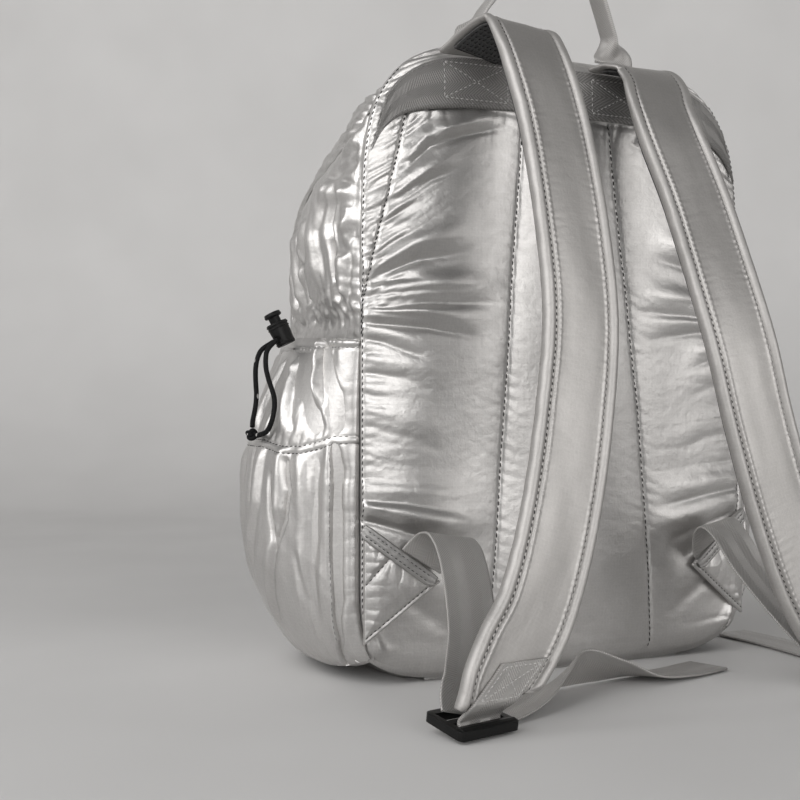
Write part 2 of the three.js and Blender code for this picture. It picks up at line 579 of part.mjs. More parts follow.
// ---------------------------------------------------------------- on the body
function pocketPoint(u, v) {
  const row = at(POCKET_ROWS, v * (POCKET_ROWS.length - 1));
  const [x, y, z] = ringPoint(-1, row.bodyRow, u * 0.985);
  const across = Math.pow(Math.sin(Math.PI * clamp(u, 0.0001, 0.9999)), 0.55);
  return [x - WALL - GAP - POCKET_WALL + 0.9 - row.stand * across - 1.0, y, z];
}
function sidePocket() {
  return wall({
    point: pocketPoint,
    lift: (u, v) => foldHeight('pocket', u, v) * Math.sin(Math.PI * u) * smooth(v * 5),
    nu: 14, nv: 14, thickness: POCKET_WALL,
    outward: () => new THREE.Vector3(-1, 0, 0), inward: new THREE.Vector3(1, 0, 0),
  });
}

function yokeBand() {
  const last = YOKE_ROWS.length - 1;
  return wall({
    point: (u, v) => {
      const side = 2 * u - 1;
      const row = at(YOKE_ROWS, Math.abs(side) * last);
      const x = Math.sign(side) * lerp(row.lowerX, row.upperX, v), z = lerp(row.lowerZ, row.upperZ, v);
      return [x, backFaceY(x, z) - GAP - 0.25 - YOKE_THICKNESS, z];
    },
    nu: 30, nv: 3, thickness: YOKE_THICKNESS,
    outward: () => new THREE.Vector3(0, -1, 0), inward: towardFront,
  });
}

function wingTab() {
  // folded triangle sewn into the side seam: top, corner and foot
  const top = { x: -120.6, z: 84 }, corner = { x: -80.5, z: 54 }, foot = { x: -120.6, z: 23 };
  const shape = new THREE.Shape();
  shape.moveTo(top.x, top.z);
  shape.lineTo(corner.x, corner.z);
  shape.lineTo(foot.x, foot.z);
  shape.closePath();
  const geometry = new THREE.ExtrudeGeometry(shape, { depth: TAB_THICKNESS, bevelEnabled: false });
  const p = geometry.getAttribute('position');
  for (let i = 0; i < p.count; i++) {
    const x = p.getX(i), z = p.getY(i), d = p.getZ(i);
    const reach = clamp((x - top.x) / (corner.x - top.x), 0, 1);
    p.setXYZ(i, x, BACK_SEAM_Y - 1.3 - 6.4 * reach - d, z);
  }
  return geometry;
}

// ---------------------------------------------------------------- straps and webbing
// The padding ends on a slanting cut just above the buckle.
const STRAP_CUT = { rise: 0.12, height: 28, back: 67 };
function cutEnd(geometry, above) {
  const up = new THREE.Vector3(-STRAP_CUT.rise, 0, 1);
  const length = up.length();
  const pieces = toManifold(geometry).trimByPlane([up.x / length, 0, 1 / length], (STRAP_CUT.height + above) / length)
    .trimByPlane([0, -1, 0], STRAP_CUT.back).decompose();
  pieces.sort((p, q) => q.volume() - p.volume());
  return toGeometry(pieces[0]);
}
function strapSection(width, low, high) {
  const h = width / 2, roll = 3.4;
  return [
    [-h, low + 1.6], [-h + 1.4, low], [h - 1.4, low], [h, low + 1.6],
    [h, high - 1.0], [h - 1.2, high + 0.4], [h - roll, high + 0.2], [h - roll - 2.4, high - 1.0],
    [-h + roll + 2.4, high - 1.0], [-h + roll, high + 0.2], [-h + 1.2, high + 0.4], [-h, high - 1.0],
  ];
}
function strap(table) {
  const stations = stationsOf(table, 40, yawTip);
  return cutEnd(sweep(stations, (s) => strapSection(s.row.width, -STRAP_THICKNESS / 2, STRAP_THICKNESS / 2)), 0);
}
function strapMesh(table) {
  const trimmed = stationsOf(table, 40, yawTip).slice(1, -2);
  const high = -STRAP_THICKNESS / 2 - GAP * 3;
  return cutEnd(sweep(trimmed, (s) => {
    const h = Math.min(MESH_WIDTH, s.row.width - 8) / 2;
    return [[-h, high - MESH_THICKNESS], [h, high - MESH_THICKNESS], [h, high], [-h, high]];
  }), 9);
}
function adjustWebbing() {
  return sweep(stationsOf(ADJUST_PATH, 22, yawTip), () => flatSection(WEBBING_WIDTH, WEBBING_THICKNESS));
}
function tail(table) {
  const stations = stationsOf(table, 22, () => new THREE.Vector3(0, 0, 1));
  for (const s of stations) {
    // start from a strip on its edge and lay it down by (90 - lean) degrees
    s.across.applyAxisAngle(s.tangent, radians(90 - s.row.lean));
    s.normal = s.tangent.clone().cross(s.across).normalize();
    const low = WEBBING_WIDTH / 2 * Math.abs(s.across.z) + WEBBING_THICKNESS / 2 * Math.abs(s.normal.z) + 0.3;
    s.centre.z = Math.max(s.centre.z, low);
  }
  return sweep(stations, () => flatSection(WEBBING_WIDTH, WEBBING_THICKNESS));
}
function haulLoop() {
  const stations = stationsOf(HAUL_ROWS, 45, () => new THREE.Vector3(0, 1, 0));
  for (const s of stations) {
    // the width lies along X at the bases and along Y over the arch
    const turn = smooth((s.row.z - 339) / 14);
    s.across.applyAxisAngle(s.tangent, radians(90 * (1 - turn)));
    s.normal = s.tangent.clone().cross(s.across).normalize();
  }
  return sweep(stations, (s) => flatSection(s.row.width, s.row.thickness));
}

// ---------------------------------------------------------------- plastic
const LADDER = { x: -110.5, y: -158, z: 5.6, yaw: 14, pitch: 9 };

function ladderFrame() {
  const m = new THREE.Matrix4().makeRotationZ(radians(LADDER.yaw));
  m.multiply(new THREE.Matrix4().makeRotationX(radians(LADDER.pitch)));
  m.setPosition(LADDER.x, LADDER.y, LADDER.z);
  return m;
}
function ladderLock() {
  const w = LADDER_WIDTH / 2, l = LADDER_LENGTH / 2, r = 3;
  const shape = new THREE.Shape();
  shape.moveTo(-w + r, -l);
  shape.lineTo(w - r, -l);
  shape.quadraticCurveTo(w, -l, w, -l + r);
  shape.lineTo(w - 1.5, l - r);
  shape.quadraticCurveTo(w - 1.5, l, w - 1.5 - r, l);
  shape.lineTo(-w + 1.5 + r, l);
  shape.quadraticCurveTo(-w + 1.5, l, -w + 1.5, l - r);
  shape.lineTo(-w, -l + r);
  shape.quadraticCurveTo(-w, -l, -w + r, -l);
  const slot = (y0, y1) => {
    const hole = new THREE.Path();
    hole.moveTo(-w + 4, y0);
    hole.lineTo(-w + 4, y1);
    hole.lineTo(w - 4, y1);
    hole.lineTo(w - 4, y0);
    hole.closePath();
    shape.holes.push(hole);
  };
  slot(-l + 6.5, -l + 10.5);
  slot(-l + 14.5, l - 4.2);
  const plate = new THREE.ExtrudeGeometry(shape, { depth: LADDER_THICKNESS, bevelEnabled: false, curveSegments: 4 });
  plate.translate(0, 0, -LADDER_THICKNESS / 2);
  // raised grip along the outer bar
  const grip = new THREE.CylinderGeometry(2.6, 2.6, LADDER_WIDTH - 3, 12);
  grip.rotateZ(Math.PI / 2);
  grip.scale(1, 1.15, 0.92);
  grip.translate(0, -l + 3.0, 0.7);
  const joined = toGeometry(toManifold(plate).add(toManifold(grip)));
  joined.applyMatrix4(ladderFrame());
  return joined;
}
// Doubled webbing from the strap end down into the buckle's front slot.
function strapTab() {
  const frame = ladderFrame();
  const across = new THREE.Vector3(1, 0, 0).transformDirection(frame);
  const points = [[0, -7.4, 7.0], [0, -5, 3.8], [0, -5, 1.2]].map((p) => new THREE.Vector3(...p).applyMatrix4(frame));
  const stations = points.map((centre, k) => {
    const a = points[Math.max(0, k - 1)], b = points[Math.min(2, k + 1)];
    const tangent = b.clone().sub(a).normalize();
    const w = across.clone().addScaledVector(tangent, -across.dot(tangent)).normalize();
    return { centre, tangent, across: w, normal: tangent.clone().cross(w).normalize(), row: {} };
  });
  return sweep(stations, () => flatSection(WEBBING_WIDTH, STRAP_TAB_THICKNESS));
}

// ---------------------------------------------------------------- cord lock and cords
function lockMatrix() {
  const up = new THREE.Vector3(LOCK.leanX, LOCK.leanY, LOCK.leanZ).normalize();
  const side = new THREE.Vector3(0.93, 0.34, 0);
  side.addScaledVector(up, -side.dot(up)).normalize();
  const out = new THREE.Vector3().crossVectors(up, side);
  const m = new THREE.Matrix4().makeBasis(side, out, up);
  m.setPosition(LOCK.x, LOCK.y, LOCK.z);
  return m;
}
function lockBody() {
  const barrel = new THREE.CylinderGeometry(0.5, 0.44, LOCK_HEIGHT, 20);
  barrel.rotateX(Math.PI / 2);
  barrel.scale(LOCK_WIDTH, LOCK_DEPTH, 1);
  const bore = new THREE.CylinderGeometry(BUTTON_STEM / 2 + 0.3, BUTTON_STEM / 2 + 0.3, 10, 20);
  bore.rotateX(Math.PI / 2);
  bore.translate(0, 0, LOCK_HEIGHT / 2 - 2);
  const eye = new THREE.CylinderGeometry(1.75, 1.75, 2.4, 14);
  eye.rotateX(Math.PI / 2);
  eye.rotateY(Math.PI / 2);
  eye.scale(1, 1.7, 1);
  eye.translate(-LOCK_WIDTH / 2 + 0.9, 0, -2.2);
  const joined = toGeometry(toManifold(barrel).subtract(toManifold(bore)).subtract(toManifold(eye)));
  joined.applyMatrix4(lockMatrix());
  return joined;
}
function lockButton() {
  const top = LOCK_HEIGHT / 2;
  const profile = [
    [0, top - 3.6], [BUTTON_STEM / 2, top - 3.6], [BUTTON_STEM / 2, top + BUTTON_TRAVEL + 0.5],
    [4.6, top + BUTTON_TRAVEL + 0.5], [4.9, top + BUTTON_TRAVEL + 1.2], [4.6, top + BUTTON_TRAVEL + 3.0], [0, top + BUTTON_TRAVEL + 3.3],
  ].map(([r, z]) => new THREE.Vector2(r, z));
  const button = new THREE.LatheGeometry(profile, 20);
  button.rotateX(Math.PI / 2);
  const clean = toGeometry(toManifold(button));
  clean.applyMatrix4(lockMatrix());
  return clean;
}
function cordStrand(table) {
  const curve = new THREE.CatmullRomCurve3(table.map((r) => new THREE.Vector3(r.x, r.y, r.z)));
  const steps = Math.round(curve.getLength() / CORD_STEP);
  const shape = new THREE.Shape();
  for (let k = 0; k < 8; k++) {
    const a = k / 8 * 2 * Math.PI;
    const x = CORD_DIAMETER / 2 * Math.cos(a), y = CORD_DIAMETER / 2 * Math.sin(a);
    if (k === 0) shape.moveTo(x, y); else shape.lineTo(x, y);
  }
  shape.closePath();
  return new THREE.ExtrudeGeometry(shape, { steps, extrudePath: curve, bevelEnabled: false });
}
function knot() {
  const ball = new THREE.SphereGeometry(KNOT_DIAMETER / 2, 14, 10);
  ball.translate(KNOT.x, KNOT.y, KNOT.z);
  return ball;
}

// ---------------------------------------------------------------- assembly
const FINISH = {
  nylon: { color: 0xc9c5c1, roughness: 0.32, metalness: 0.75 },
  twill: { color: 0x9b9490, roughness: 0.55, metalness: 0.35 },
  mesh: { color: 0x1c1b1c, roughness: 0.85, metalness: 0.0 },
  plastic: { color: 0x101011, roughness: 0.4, metalness: 0.0 },
  cord: { color: 0x121213, roughness: 0.8, metalness: 0.0 },
  zip: { color: 0x77726f, roughness: 0.6, metalness: 0.2 },
};
const bag = new THREE.Group();
function add(name, geometry, finish) {
  const mesh = new THREE.Mesh(geometry, new THREE.MeshStandardMaterial(FINISH[finish]));
  mesh.name = name;
  bag.add(mesh);
}
function addPair(name, geometry, finish) {
  add(`${name}_left`, geometry, finish);
  add(`${name}_right`, mirrored(geometry), finish);
}

add('back_panel', backPanel(), 'nylon');
addPair('side_panel', sidePanel(), 'nylon');
add('top_gusset', topGusset(), 'nylon');
add('front_panel', frontPanel(), 'nylon');
add('main_zip', mainZip(), 'zip');
add('base_panel', basePanel(), 'nylon');
add('yoke_band', yokeBand(), 'twill');
addPair('side_pocket', sidePocket(), 'nylon');
addPair('wing_tab', wingTab(), 'nylon');
add('strap_left', strap(STRAP_PATH), 'nylon');
add('strap_right', mirrored(strap(STRAP_PATH_RIGHT)), 'nylon');
add('strap_mesh_left', strapMesh(STRAP_PATH), 'mesh');
add('strap_mesh_right', mirrored(strapMesh(STRAP_PATH_RIGHT)), 'mesh');
addPair('strap_tab', strapTab(), 'twill');
addPair('ladder_lock', ladderLock(), 'plastic');
addPair('adjust_webbing', adjustWebbing(), 'twill');
add('webbing_tail_left', tail(TAIL_LEFT), 'twill');
add('webbing_tail_right', tail(TAIL_RIGHT), 'twill');
add('haul_loop', haulLoop(), 'twill');
addPair('cord_lock_body', lockBody(), 'plastic');
addPair('cord_lock_button', lockButton(), 'plastic');
addPair('drawcord_rear', cordStrand(CORD_REAR), 'cord');
addPair('drawcord_front', cordStrand(CORD_FRONT), 'cord');
addPair('drawcord_knot', knot(), 'cord');

export default bag;
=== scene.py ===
# Mini backpack: the sewn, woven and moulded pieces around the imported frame.
# Sizes are worked out in millimetres and turned into metres when a mesh is made.
import math

import bmesh
import bpy
import numpy as np
from mathutils import Matrix, Vector

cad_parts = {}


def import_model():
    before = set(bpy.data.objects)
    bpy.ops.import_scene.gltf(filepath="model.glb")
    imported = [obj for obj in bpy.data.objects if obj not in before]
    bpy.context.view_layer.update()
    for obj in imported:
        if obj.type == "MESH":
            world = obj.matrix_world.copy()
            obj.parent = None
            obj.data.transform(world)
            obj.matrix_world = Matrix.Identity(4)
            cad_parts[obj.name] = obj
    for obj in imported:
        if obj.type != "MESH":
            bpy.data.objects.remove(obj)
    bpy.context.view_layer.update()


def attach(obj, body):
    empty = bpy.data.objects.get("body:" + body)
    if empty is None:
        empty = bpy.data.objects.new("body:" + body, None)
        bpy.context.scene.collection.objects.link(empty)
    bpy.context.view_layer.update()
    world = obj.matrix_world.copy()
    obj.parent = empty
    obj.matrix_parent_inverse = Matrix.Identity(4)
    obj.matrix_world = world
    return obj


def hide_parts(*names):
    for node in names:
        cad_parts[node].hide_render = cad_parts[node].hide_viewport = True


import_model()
MM = 0.001

# ------------------------------------------------------------------ camera
cam_data = bpy.data.cameras.new("camera")
cam_data.lens = 56.25
cam_data.sensor_width = 36.0
cam_data.clip_start = 0.01
cam_data.dof.use_dof = False
cam = bpy.data.objects.new("camera", cam_data)
bpy.context.scene.collection.objects.link(cam)
cam.location = (-0.3729, -0.6463, 0.1451)
AZ, PITCH = math.radians(25.0), math.radians(0.25)
look = Vector((math.sin(AZ) * math.cos(PITCH), math.cos(AZ) * math.cos(PITCH), math.sin(PITCH)))
cam.rotation_euler = look.to_track_quat("-Z", "Y").to_euler()
bpy.context.scene.camera = cam

# ------------------------------------------------------------------ the frame's tables, as in the CAD source
GAP = 0.35
BACK_THICKNESS = 3.6
WALL = 1.8
POCKET_WALL = 1.4
BACK_SEAM_Y = -60.0
BACK_PUFF = 5.0
RIDGE_HALF = 62.0
RIM_SLOT = 3.2
SIDE_SLOT = 0.6
BASE_RISE = 11.0
CORNER_ROW = 8
ZIP_ROW = 4.6
YOKE_THICKNESS = 1.8
CORD_DIAMETER = 2.75
WEBBING_WIDTH = 25.0

# backHalf, backZ, swell, rimHalf, rimZ, rimY, frontZ, frontY, square, puff
SECTION_ROWS = np.array([
    (115.0, 13, 5.0, 108, 4, 52, 5, 63, 3.4, 0.0), (120.5, 38, 8.0, 118, 38, 58, 38, 74, 3.2, 1.0),
    (121.0, 80, 10.5, 122, 80, 61, 80, 79, 3.1, 1.5), (121.0, 130, 10.0, 121, 132, 60, 130, 80, 3.0, 2.0),
    (121.0, 184, 4.0, 117, 190, 53, 184, 76, 2.9, 2.0), (121.0, 220, 9.0, 119, 232, 44, 222, 71, 2.8, 2.5),
    (120.5, 250, 8.5, 119, 260, 24, 247, 64, 2.7, 4.0), (119.2, 274, 4.0, 117.5, 276, -12, 266, 54, 2.6, 6.0),
    (115.0, 296, 1.0, 112.5, 294, -43, 280, 42, 2.5, 6.0), (107.0, 312, 0.5, 104, 309.5, -46, 291, 26, 2.4, 5.0),
    (95.0, 325, 0.5, 92.5, 321.5, -47, 302, 6, 2.3, 4.0), (79.0, 333, 0.5, 77.5, 330, -47, 315, -18, 2.2, 2.5),
    (62.0, 336, 0.5, 62, 333, -47, 333, -47, 2.2, 0.0)], float)
BACK_HALF, BACK_Z, SWELL, RIM_HALF, RIM_Z, RIM_Y, FRONT_Z, FRONT_Y, SQUARE, PUFF = range(10)
LAST = len(SECTION_ROWS) - 1
POCKET_ROWS = np.array([(.08, 3.5), (.5, 13.5), (1.3, 22), (2.1, 24), (2.8, 22.5), (3.45, 15), (3.9, 6.5)], float)
YOKE_ROWS = np.array([(0, 329.3, 0, 302.5), (40, 329.2, 42, 302.3), (68, 328.4, 72, 300.8), (86, 323.8, 96, 296.6), (99, 315.5, 109, 288.0), (107.5, 305.5, 116.2, 276.0)], float)
STRAP_PATH = np.array([
    (-60.7, -59.5, 326.8, 42, 0, 0), (-58.5, -66.7, 329.8, 42, 0, 0), (-56.3, -74, 333, 42, 0, -2), (-53.7, -82.5, 336, 42, 0, -4),
    (-51.3, -90.5, 338, 42, 0, -5), (-50, -97, 337.6, 42, 0, -6), (-49.8, -104, 331.5, 42, 0, -6),
    (-49, -115, 312, 42, 2, -5), (-46.5, -127, 278, 42, 4, -3), (-46, -140, 232, 42, 3, -3), (-47, -149, 185, 42, 2, -6),
    (-55, -155, 136, 42, 0, -12), (-66, -160, 92, 42, 0, -20), (-79.5, -164, 56, 42.5, 3, -21), (-93, -166.5, 35.5, 43, 5, -18),
    (-103.5, -168, 22, 39, 8, -14), (-110.5, -168.5, 12.5, 31, 10, -12), (-114, -168.7, 7.5, 27, 10, -12)], float)
STRAP_PATH_RIGHT = np.array([
    (-31.5, -60, 329, 42, 0, 0), (-33.5, -68, 330, 42, 0, 0), (-35.5, -76, 330, 42, 0, 0), (-38, -84.5, 327, 42, 0, 0),
    (-38, -92.5, 318.5, 42, 0, 0), (-36, -99.5, 306, 42, 0, 0), (-36.5, -109, 286, 42, 2, 0), (-41.5, -122, 253, 42, 3, 0),
    (-44.5, -138, 212, 42, 3, -3), (-48.5, -149, 176, 42, 2, -7)]
    + [tuple(r) for r in STRAP_PATH[11:]], float)
ADJUST_PATH = np.array([
    (-91.8, -69.2, 65, 0, -40), (-88, -73.5, 71.5, 0, -32), (-85.5, -79.5, 77, 0, -18), (-84.5, -87.5, 79, 0, -8),
    (-84.5, -98, 73, 0, 0), (-87, -111, 57, 0, 3), (-94, -129, 37.5, 2, 2), (-102.5, -141.5, 24, 8, 0), (-108.5, -147.5, 16, 14, 0)], float)
TAIL_LEFT = np.array([(-106, -148, 1.3, 0), (-88, -141, 1.6, 2), (-68, -132, 3.2, 10), (-46, -119, 7.5, 30), (-22, -107, 11.6, 56),
                      (0, -106, 8.0, 34), (22, -104, 3.2, 8), (48, -99, 1.6, 1), (74, -91, 1.4, 0)], float)
TAIL_RIGHT = np.array([(106, -148, 1.3, 0), (119, -142.5, 1.3, 0), (132, -134, 1.3, 0), (143, -121, 1.3, 0), (150, -103, 1.3, 0),
                       (153, -80, 1.3, 0), (154, -52, 1.3, 0), (152, -16, 1.3, 0)], float)
HAUL_ROWS = np.array([
    (-54.0, -58.2, 337.2, 25, 2.0), (-54.0, -58.2, 341, 25, 2.0), (-53.6, -58.8, 346, 21, 2.2), (-51.8, -60, 353.5, 15, 3.4), (-46.8, -61.5, 361, 13, 4.0),
    (-39, -62.5, 370, 12.5, 4.2), (-29, -63, 380, 12.5, 4.2), (-17, -63, 388.5, 12.5, 4.2), (-4, -63, 392, 12.5, 4.2), (8, -63, 389, 12.5, 4.2),
    (17.5, -62.5, 380, 12.5, 4.2), (23.5, -61.5, 368, 13, 4.0), (29, -60, 356, 15, 3.4), (33, -58.8, 347, 22, 2.2), (34.3, -58.2, 341.5, 25, 2.0),
    (34.3, -58.2, 337.2, 25, 2.0)], float)
CORD_REAR = np.array([(-146.8, 1.9, 180.0), (-153.5, 2.8, 175.3), (-155.6, 3.2, 170.9), (-156.4, 3.6, 166.6), (-156.5, 4.0, 161.7), (-156.2, 4.2, 156.2), (-155.9, 4.2, 150.8), (-156.4, 3.8, 145.9), (-157.5, 3.0, 141.0), (-158.8, 1.8, 136.7), (-159.5, 0.2, 133.6)], float)
CORD_FRONT = np.array([(-146.1, -1.2, 181.0), (-151.5, -1.2, 175.2), (-152.7, -2.0, 170.3), (-153.0, -3.4, 165.3), (-152.8, -6.4, 159.9), (-152.3, -10.2, 154.5), (-152.0, -13.6, 149.6), (-152.5, -15.8, 144.8), (-153.8, -17.2, 139.5), (-155.0, -17.0, 135.3), (-156.3, -14.4, 131.3), (-159.1, -6.5, 128.9)], float)
KNOT = np.array((-160.5, -2.0, 129.4))
LOCK = np.array((-141.6, 3.9, 184.6))
LOCK_LEAN = np.array((-0.397, 0.185, 0.899))
LADDER = dict(x=-110.5, y=-158.0, z=5.6, yaw=14.0, pitch=9.0)


def smooth(t):
    c = np.clip(t, 0, 1)
    return c * c * (3 - 2 * c)


def at(rows, position):
    """Catmull-Rom reading of a table at fractional rows; one column per last axis."""
    p = np.clip(np.asarray(position, float), 0, len(rows) - 1)
    i = np.minimum(len(rows) - 2, np.floor(p).astype(int))
    t = (p - i)[..., None]
    r0, r1, r2, r3 = rows[np.maximum(0, i - 1)], rows[i], rows[i + 1], rows[np.minimum(len(rows) - 1, i + 2)]
    m1, m2 = (r2 - r0) / 2, (r3 - r1) / 2
    return (2 * t**3 - 3 * t**2 + 1) * r1 + (t**3 - 2 * t**2 + t) * m1 + (3 * t**2 - 2 * t**3) * r2 + (t**3 - t**2) * m2


def back_point(u, v):
    row = at(SECTION_ROWS, v * LAST)
    side = 2 * u - 1
    drop = (1 - smooth(v * LAST / 1.1)) * (1 - np.abs(side) ** 7) * (SECTION_ROWS[0, BACK_Z] - 1)
    swell = BACK_PUFF * (1 - np.abs(side) ** 4) * smooth(v * 7) * smooth((1 - v) * 4.5)
    return np.stack([side * row[..., BACK_HALF], BACK_SEAM_Y - swell, row[..., BACK_Z] - drop], -1)


def ring_point(side, position, q):
    row, a, b = at(SECTION_ROWS, position), at(SECTION_ROWS, position - 0.05), at(SECTION_ROWS, position + 0.05)
    ox, oy = b[..., BACK_Z] - a[..., BACK_Z], -(b[..., BACK_HALF] - a[..., BACK_HALF])
    top = np.asarray(position) > LAST - 0.1
    ox, oy = np.where(top, 0, ox), np.where(top, 1, oy)
    n = np.hypot(ox, oy)
    ox, oy = ox / n, oy / n
    stand = row[..., SWELL] * np.sin(np.pi * np.clip(q, 0, 1)) ** 0.8
    y0 = BACK_SEAM_Y + BACK_THICKNESS + GAP
    q1 = np.clip(q, 0, 1)
    edge = q1 ** 0.9
    low = 1 - smooth(np.asarray(position) / 1.1)
    down = edge + (1 - (1 - q1) ** 5 - edge) * low
    return np.stack([side * (row[..., BACK_HALF] + (row[..., RIM_HALF] - row[..., BACK_HALF]) * edge + stand * ox),
                     y0 + (row[..., RIM_Y] - y0) * q,
                     row[..., BACK_Z] + (row[..., RIM_Z] - row[..., BACK_Z]) * down + stand * oy], -1)


def slot_at(position):
    return SIDE_SLOT + (RIM_SLOT - SIDE_SLOT) * smooth((position - ZIP_ROW + 0.6) / 0.8)


def side_point(u, v):
    position = v * (CORNER_ROW - 0.02)
    length = at(SECTION_ROWS, position)[..., RIM_Y] - BACK_SEAM_Y
    return ring_point(-1, position, u * (1 - slot_at(position) / 2 / length))


def pocket_point(u, v):
    row = at(POCKET_ROWS, v * (len(POCKET_ROWS) - 1))
    p = ring_point(-1, row[..., 0], u * 0.985)
    across = np.sin(np.pi * np.clip(u, 0.0001, 0.9999)) ** 0.55
    p[..., 0] += -WALL - GAP - POCKET_WALL + 0.9 - row[..., 1] * across - 1.0
    return p


def front_point(u, v):
    row = at(SECTION_ROWS, v * LAST)
    c, s = np.cos(np.pi * u), np.clip(np.sin(np.pi * u), 0, 1)
    power = 2 / row[..., SQUARE]
    reach = s ** power
    slot = slot_at(v * LAST) / 2
    swell = row[..., PUFF] * s ** 0.5 * np.abs(c) ** 0.8
    y0, z0 = row[..., RIM_Y] + slot, row[..., RIM_Z]
    return np.stack([-np.sign(c) * np.abs(c) ** power * row[..., RIM_HALF] - np.sign(c) * swell * 0.8,
                     y0 + (row[..., FRONT_Y] - y0) * reach,
                     z0 + (row[..., FRONT_Z] - z0) * s ** 1.2 + swell * 0.6 * smooth((v - 0.55) * 3)], -1)


def top_point(s, low_row, q):
    """Gusset and zip path over the top; s runs from -1 to 1."""
    straight = 0.36
    a = np.abs(s)
    ring = ring_point(np.sign(s), LAST + (low_row - LAST) * np.clip((a - straight) / (1 - straight), 0, 1), q)
    flat = ring_point(np.ones_like(s), np.full_like(s, LAST), q)
    flat = np.stack([s / straight * RIDGE_HALF, flat[..., 1], flat[..., 2]], -1)
    return np.where((a <= straight)[..., None], flat, ring)


# ------------------------------------------------------------------ noise, folds and puckers
def hash01(ix, iy, seed):
    n = (ix.astype(np.int64) * 374761393 + iy.astype(np.int64) * 668265263 + seed * 974634777) & 0xFFFFFFFF
    n = ((n ^ (n >> 13)) * 1274126177) & 0xFFFFFFFF
    return ((n ^ (n >> 16)) & 0xFFFF) / 65535.0


def noise(x, y, seed=0):
    """Gradient noise, about -1 to 1."""
    x, y = np.broadcast_arrays(np.asarray(x, float), np.asarray(y, float))
    x0, y0 = np.floor(x), np.floor(y)
    fx, fy = x - x0, y - y0

    def corner(dx, dy):
        a = hash01(x0 + dx, y0 + dy, seed) * 2 * np.pi
        return np.cos(a) * (fx - dx) + np.sin(a) * (fy - dy)

    su = fx**3 * (fx * (fx * 6 - 15) + 10)
    sv = fy**3 * (fy * (fy * 6 - 15) + 10)
    low = corner(0, 0) * (1 - su) + corner(1, 0) * su
    high = corner(0, 1) * (1 - su) + corner(1, 1) * su
    return 1.45 * (low * (1 - sv) + high * sv)


def fbm(x, y, seed=0, octaves=3, gain=0.5):
    total, amp = 0, 1.0
    for k in range(octaves):
        total = total + amp * noise(x * 2**k + 17.3 * k, y * 2**k - 9.1 * k, seed + k)
        amp *= gain
    return total


def crumple(x, y, seed=0, octaves=3):
    """Sharp creases between rounded facets, about 0 to 1."""
    total, amp, norm = 0, 1.0, 0
    for k in range(octaves):
        total = total + amp * (1 - np.abs(noise(x * 1.9**k + 5.2 * k, y * 1.9**k + 3.7 * k, seed + 11 * k)))
        norm += amp
        amp *= 0.5
    return total / norm


def fold(a, b, points, width, height, skew=0.0, fade=0.45, width_end=None, crease=0.0):
    """A ridge (or dent) along a line of points in a flat chart; skew makes one flank steeper."""
    pts = np.array(points, float)
    seg = np.hypot(*np.diff(pts, axis=0).T)
    total = seg.sum()
    best = np.full(a.shape, 1e9)
    s_at = np.zeros(a.shape)
    c_at = np.zeros(a.shape)
    start = 0.0
    for k in range(len(pts) - 1):
        d = (pts[k + 1] - pts[k]) / seg[k]
        ra, rb = a - pts[k, 0], b - pts[k, 1]
        s = ra * d[0] + rb * d[1]
        lo = -1e9 if k == 0 else 0
        hi = 1e9 if k == len(pts) - 2 else seg[k]
        sc = np.clip(s, lo, hi)
        c = -ra * d[1] + rb * d[0]
        dist = np.hypot(s - sc, c)
        take = dist < best
        best = np.where(take, dist, best)
        s_at = np.where(take, start + sc, s_at)
        c_at = np.where(take, np.sign(c) * dist, c_at)
        start += seg[k]
    t = s_at / total
    w = width + ((width_end if width_end is not None else width) - width) * np.clip(t, 0, 1)
    window = smooth((t + 0.12) / 0.2) * (1 - smooth((t - fade) / (1.12 - fade)))
    x = c_at / w
    return height * window * (np.exp(-x * x) * (1 + skew * x) - crease * np.exp(-((x + 1.2) / 0.34) ** 2))


def puckers(along, away, pitch, reach, height, seed, slant=0.0, jitter=0.35, rise=1.2):
    """Gathers that run away from a seam: rounded crests, sharp valleys, uneven in size."""
    line = along + slant * away + 0.6 * pitch * jitter * noise(along / (pitch * 2.3), away / (reach * 1.5), seed + 5)
    phase = line / pitch + jitter * noise(along / (pitch * 3.1), along * 0 + 0.5, seed)
    cell = np.floor(phase)
    size = 0.35 + 0.9 * hash01(cell, cell * 0 + 3, seed)
    length = reach * (0.5 + hash01(cell, cell * 0 + 8, seed + 2))
    t = phase - cell
    crest = np.sin(np.pi * t) ** 0.75 - 0.62
    near = np.clip(away, 0, None)
    return height * size * crest * (1 - np.exp(-near / rise)) * np.exp(-(near / length) ** 1.25)


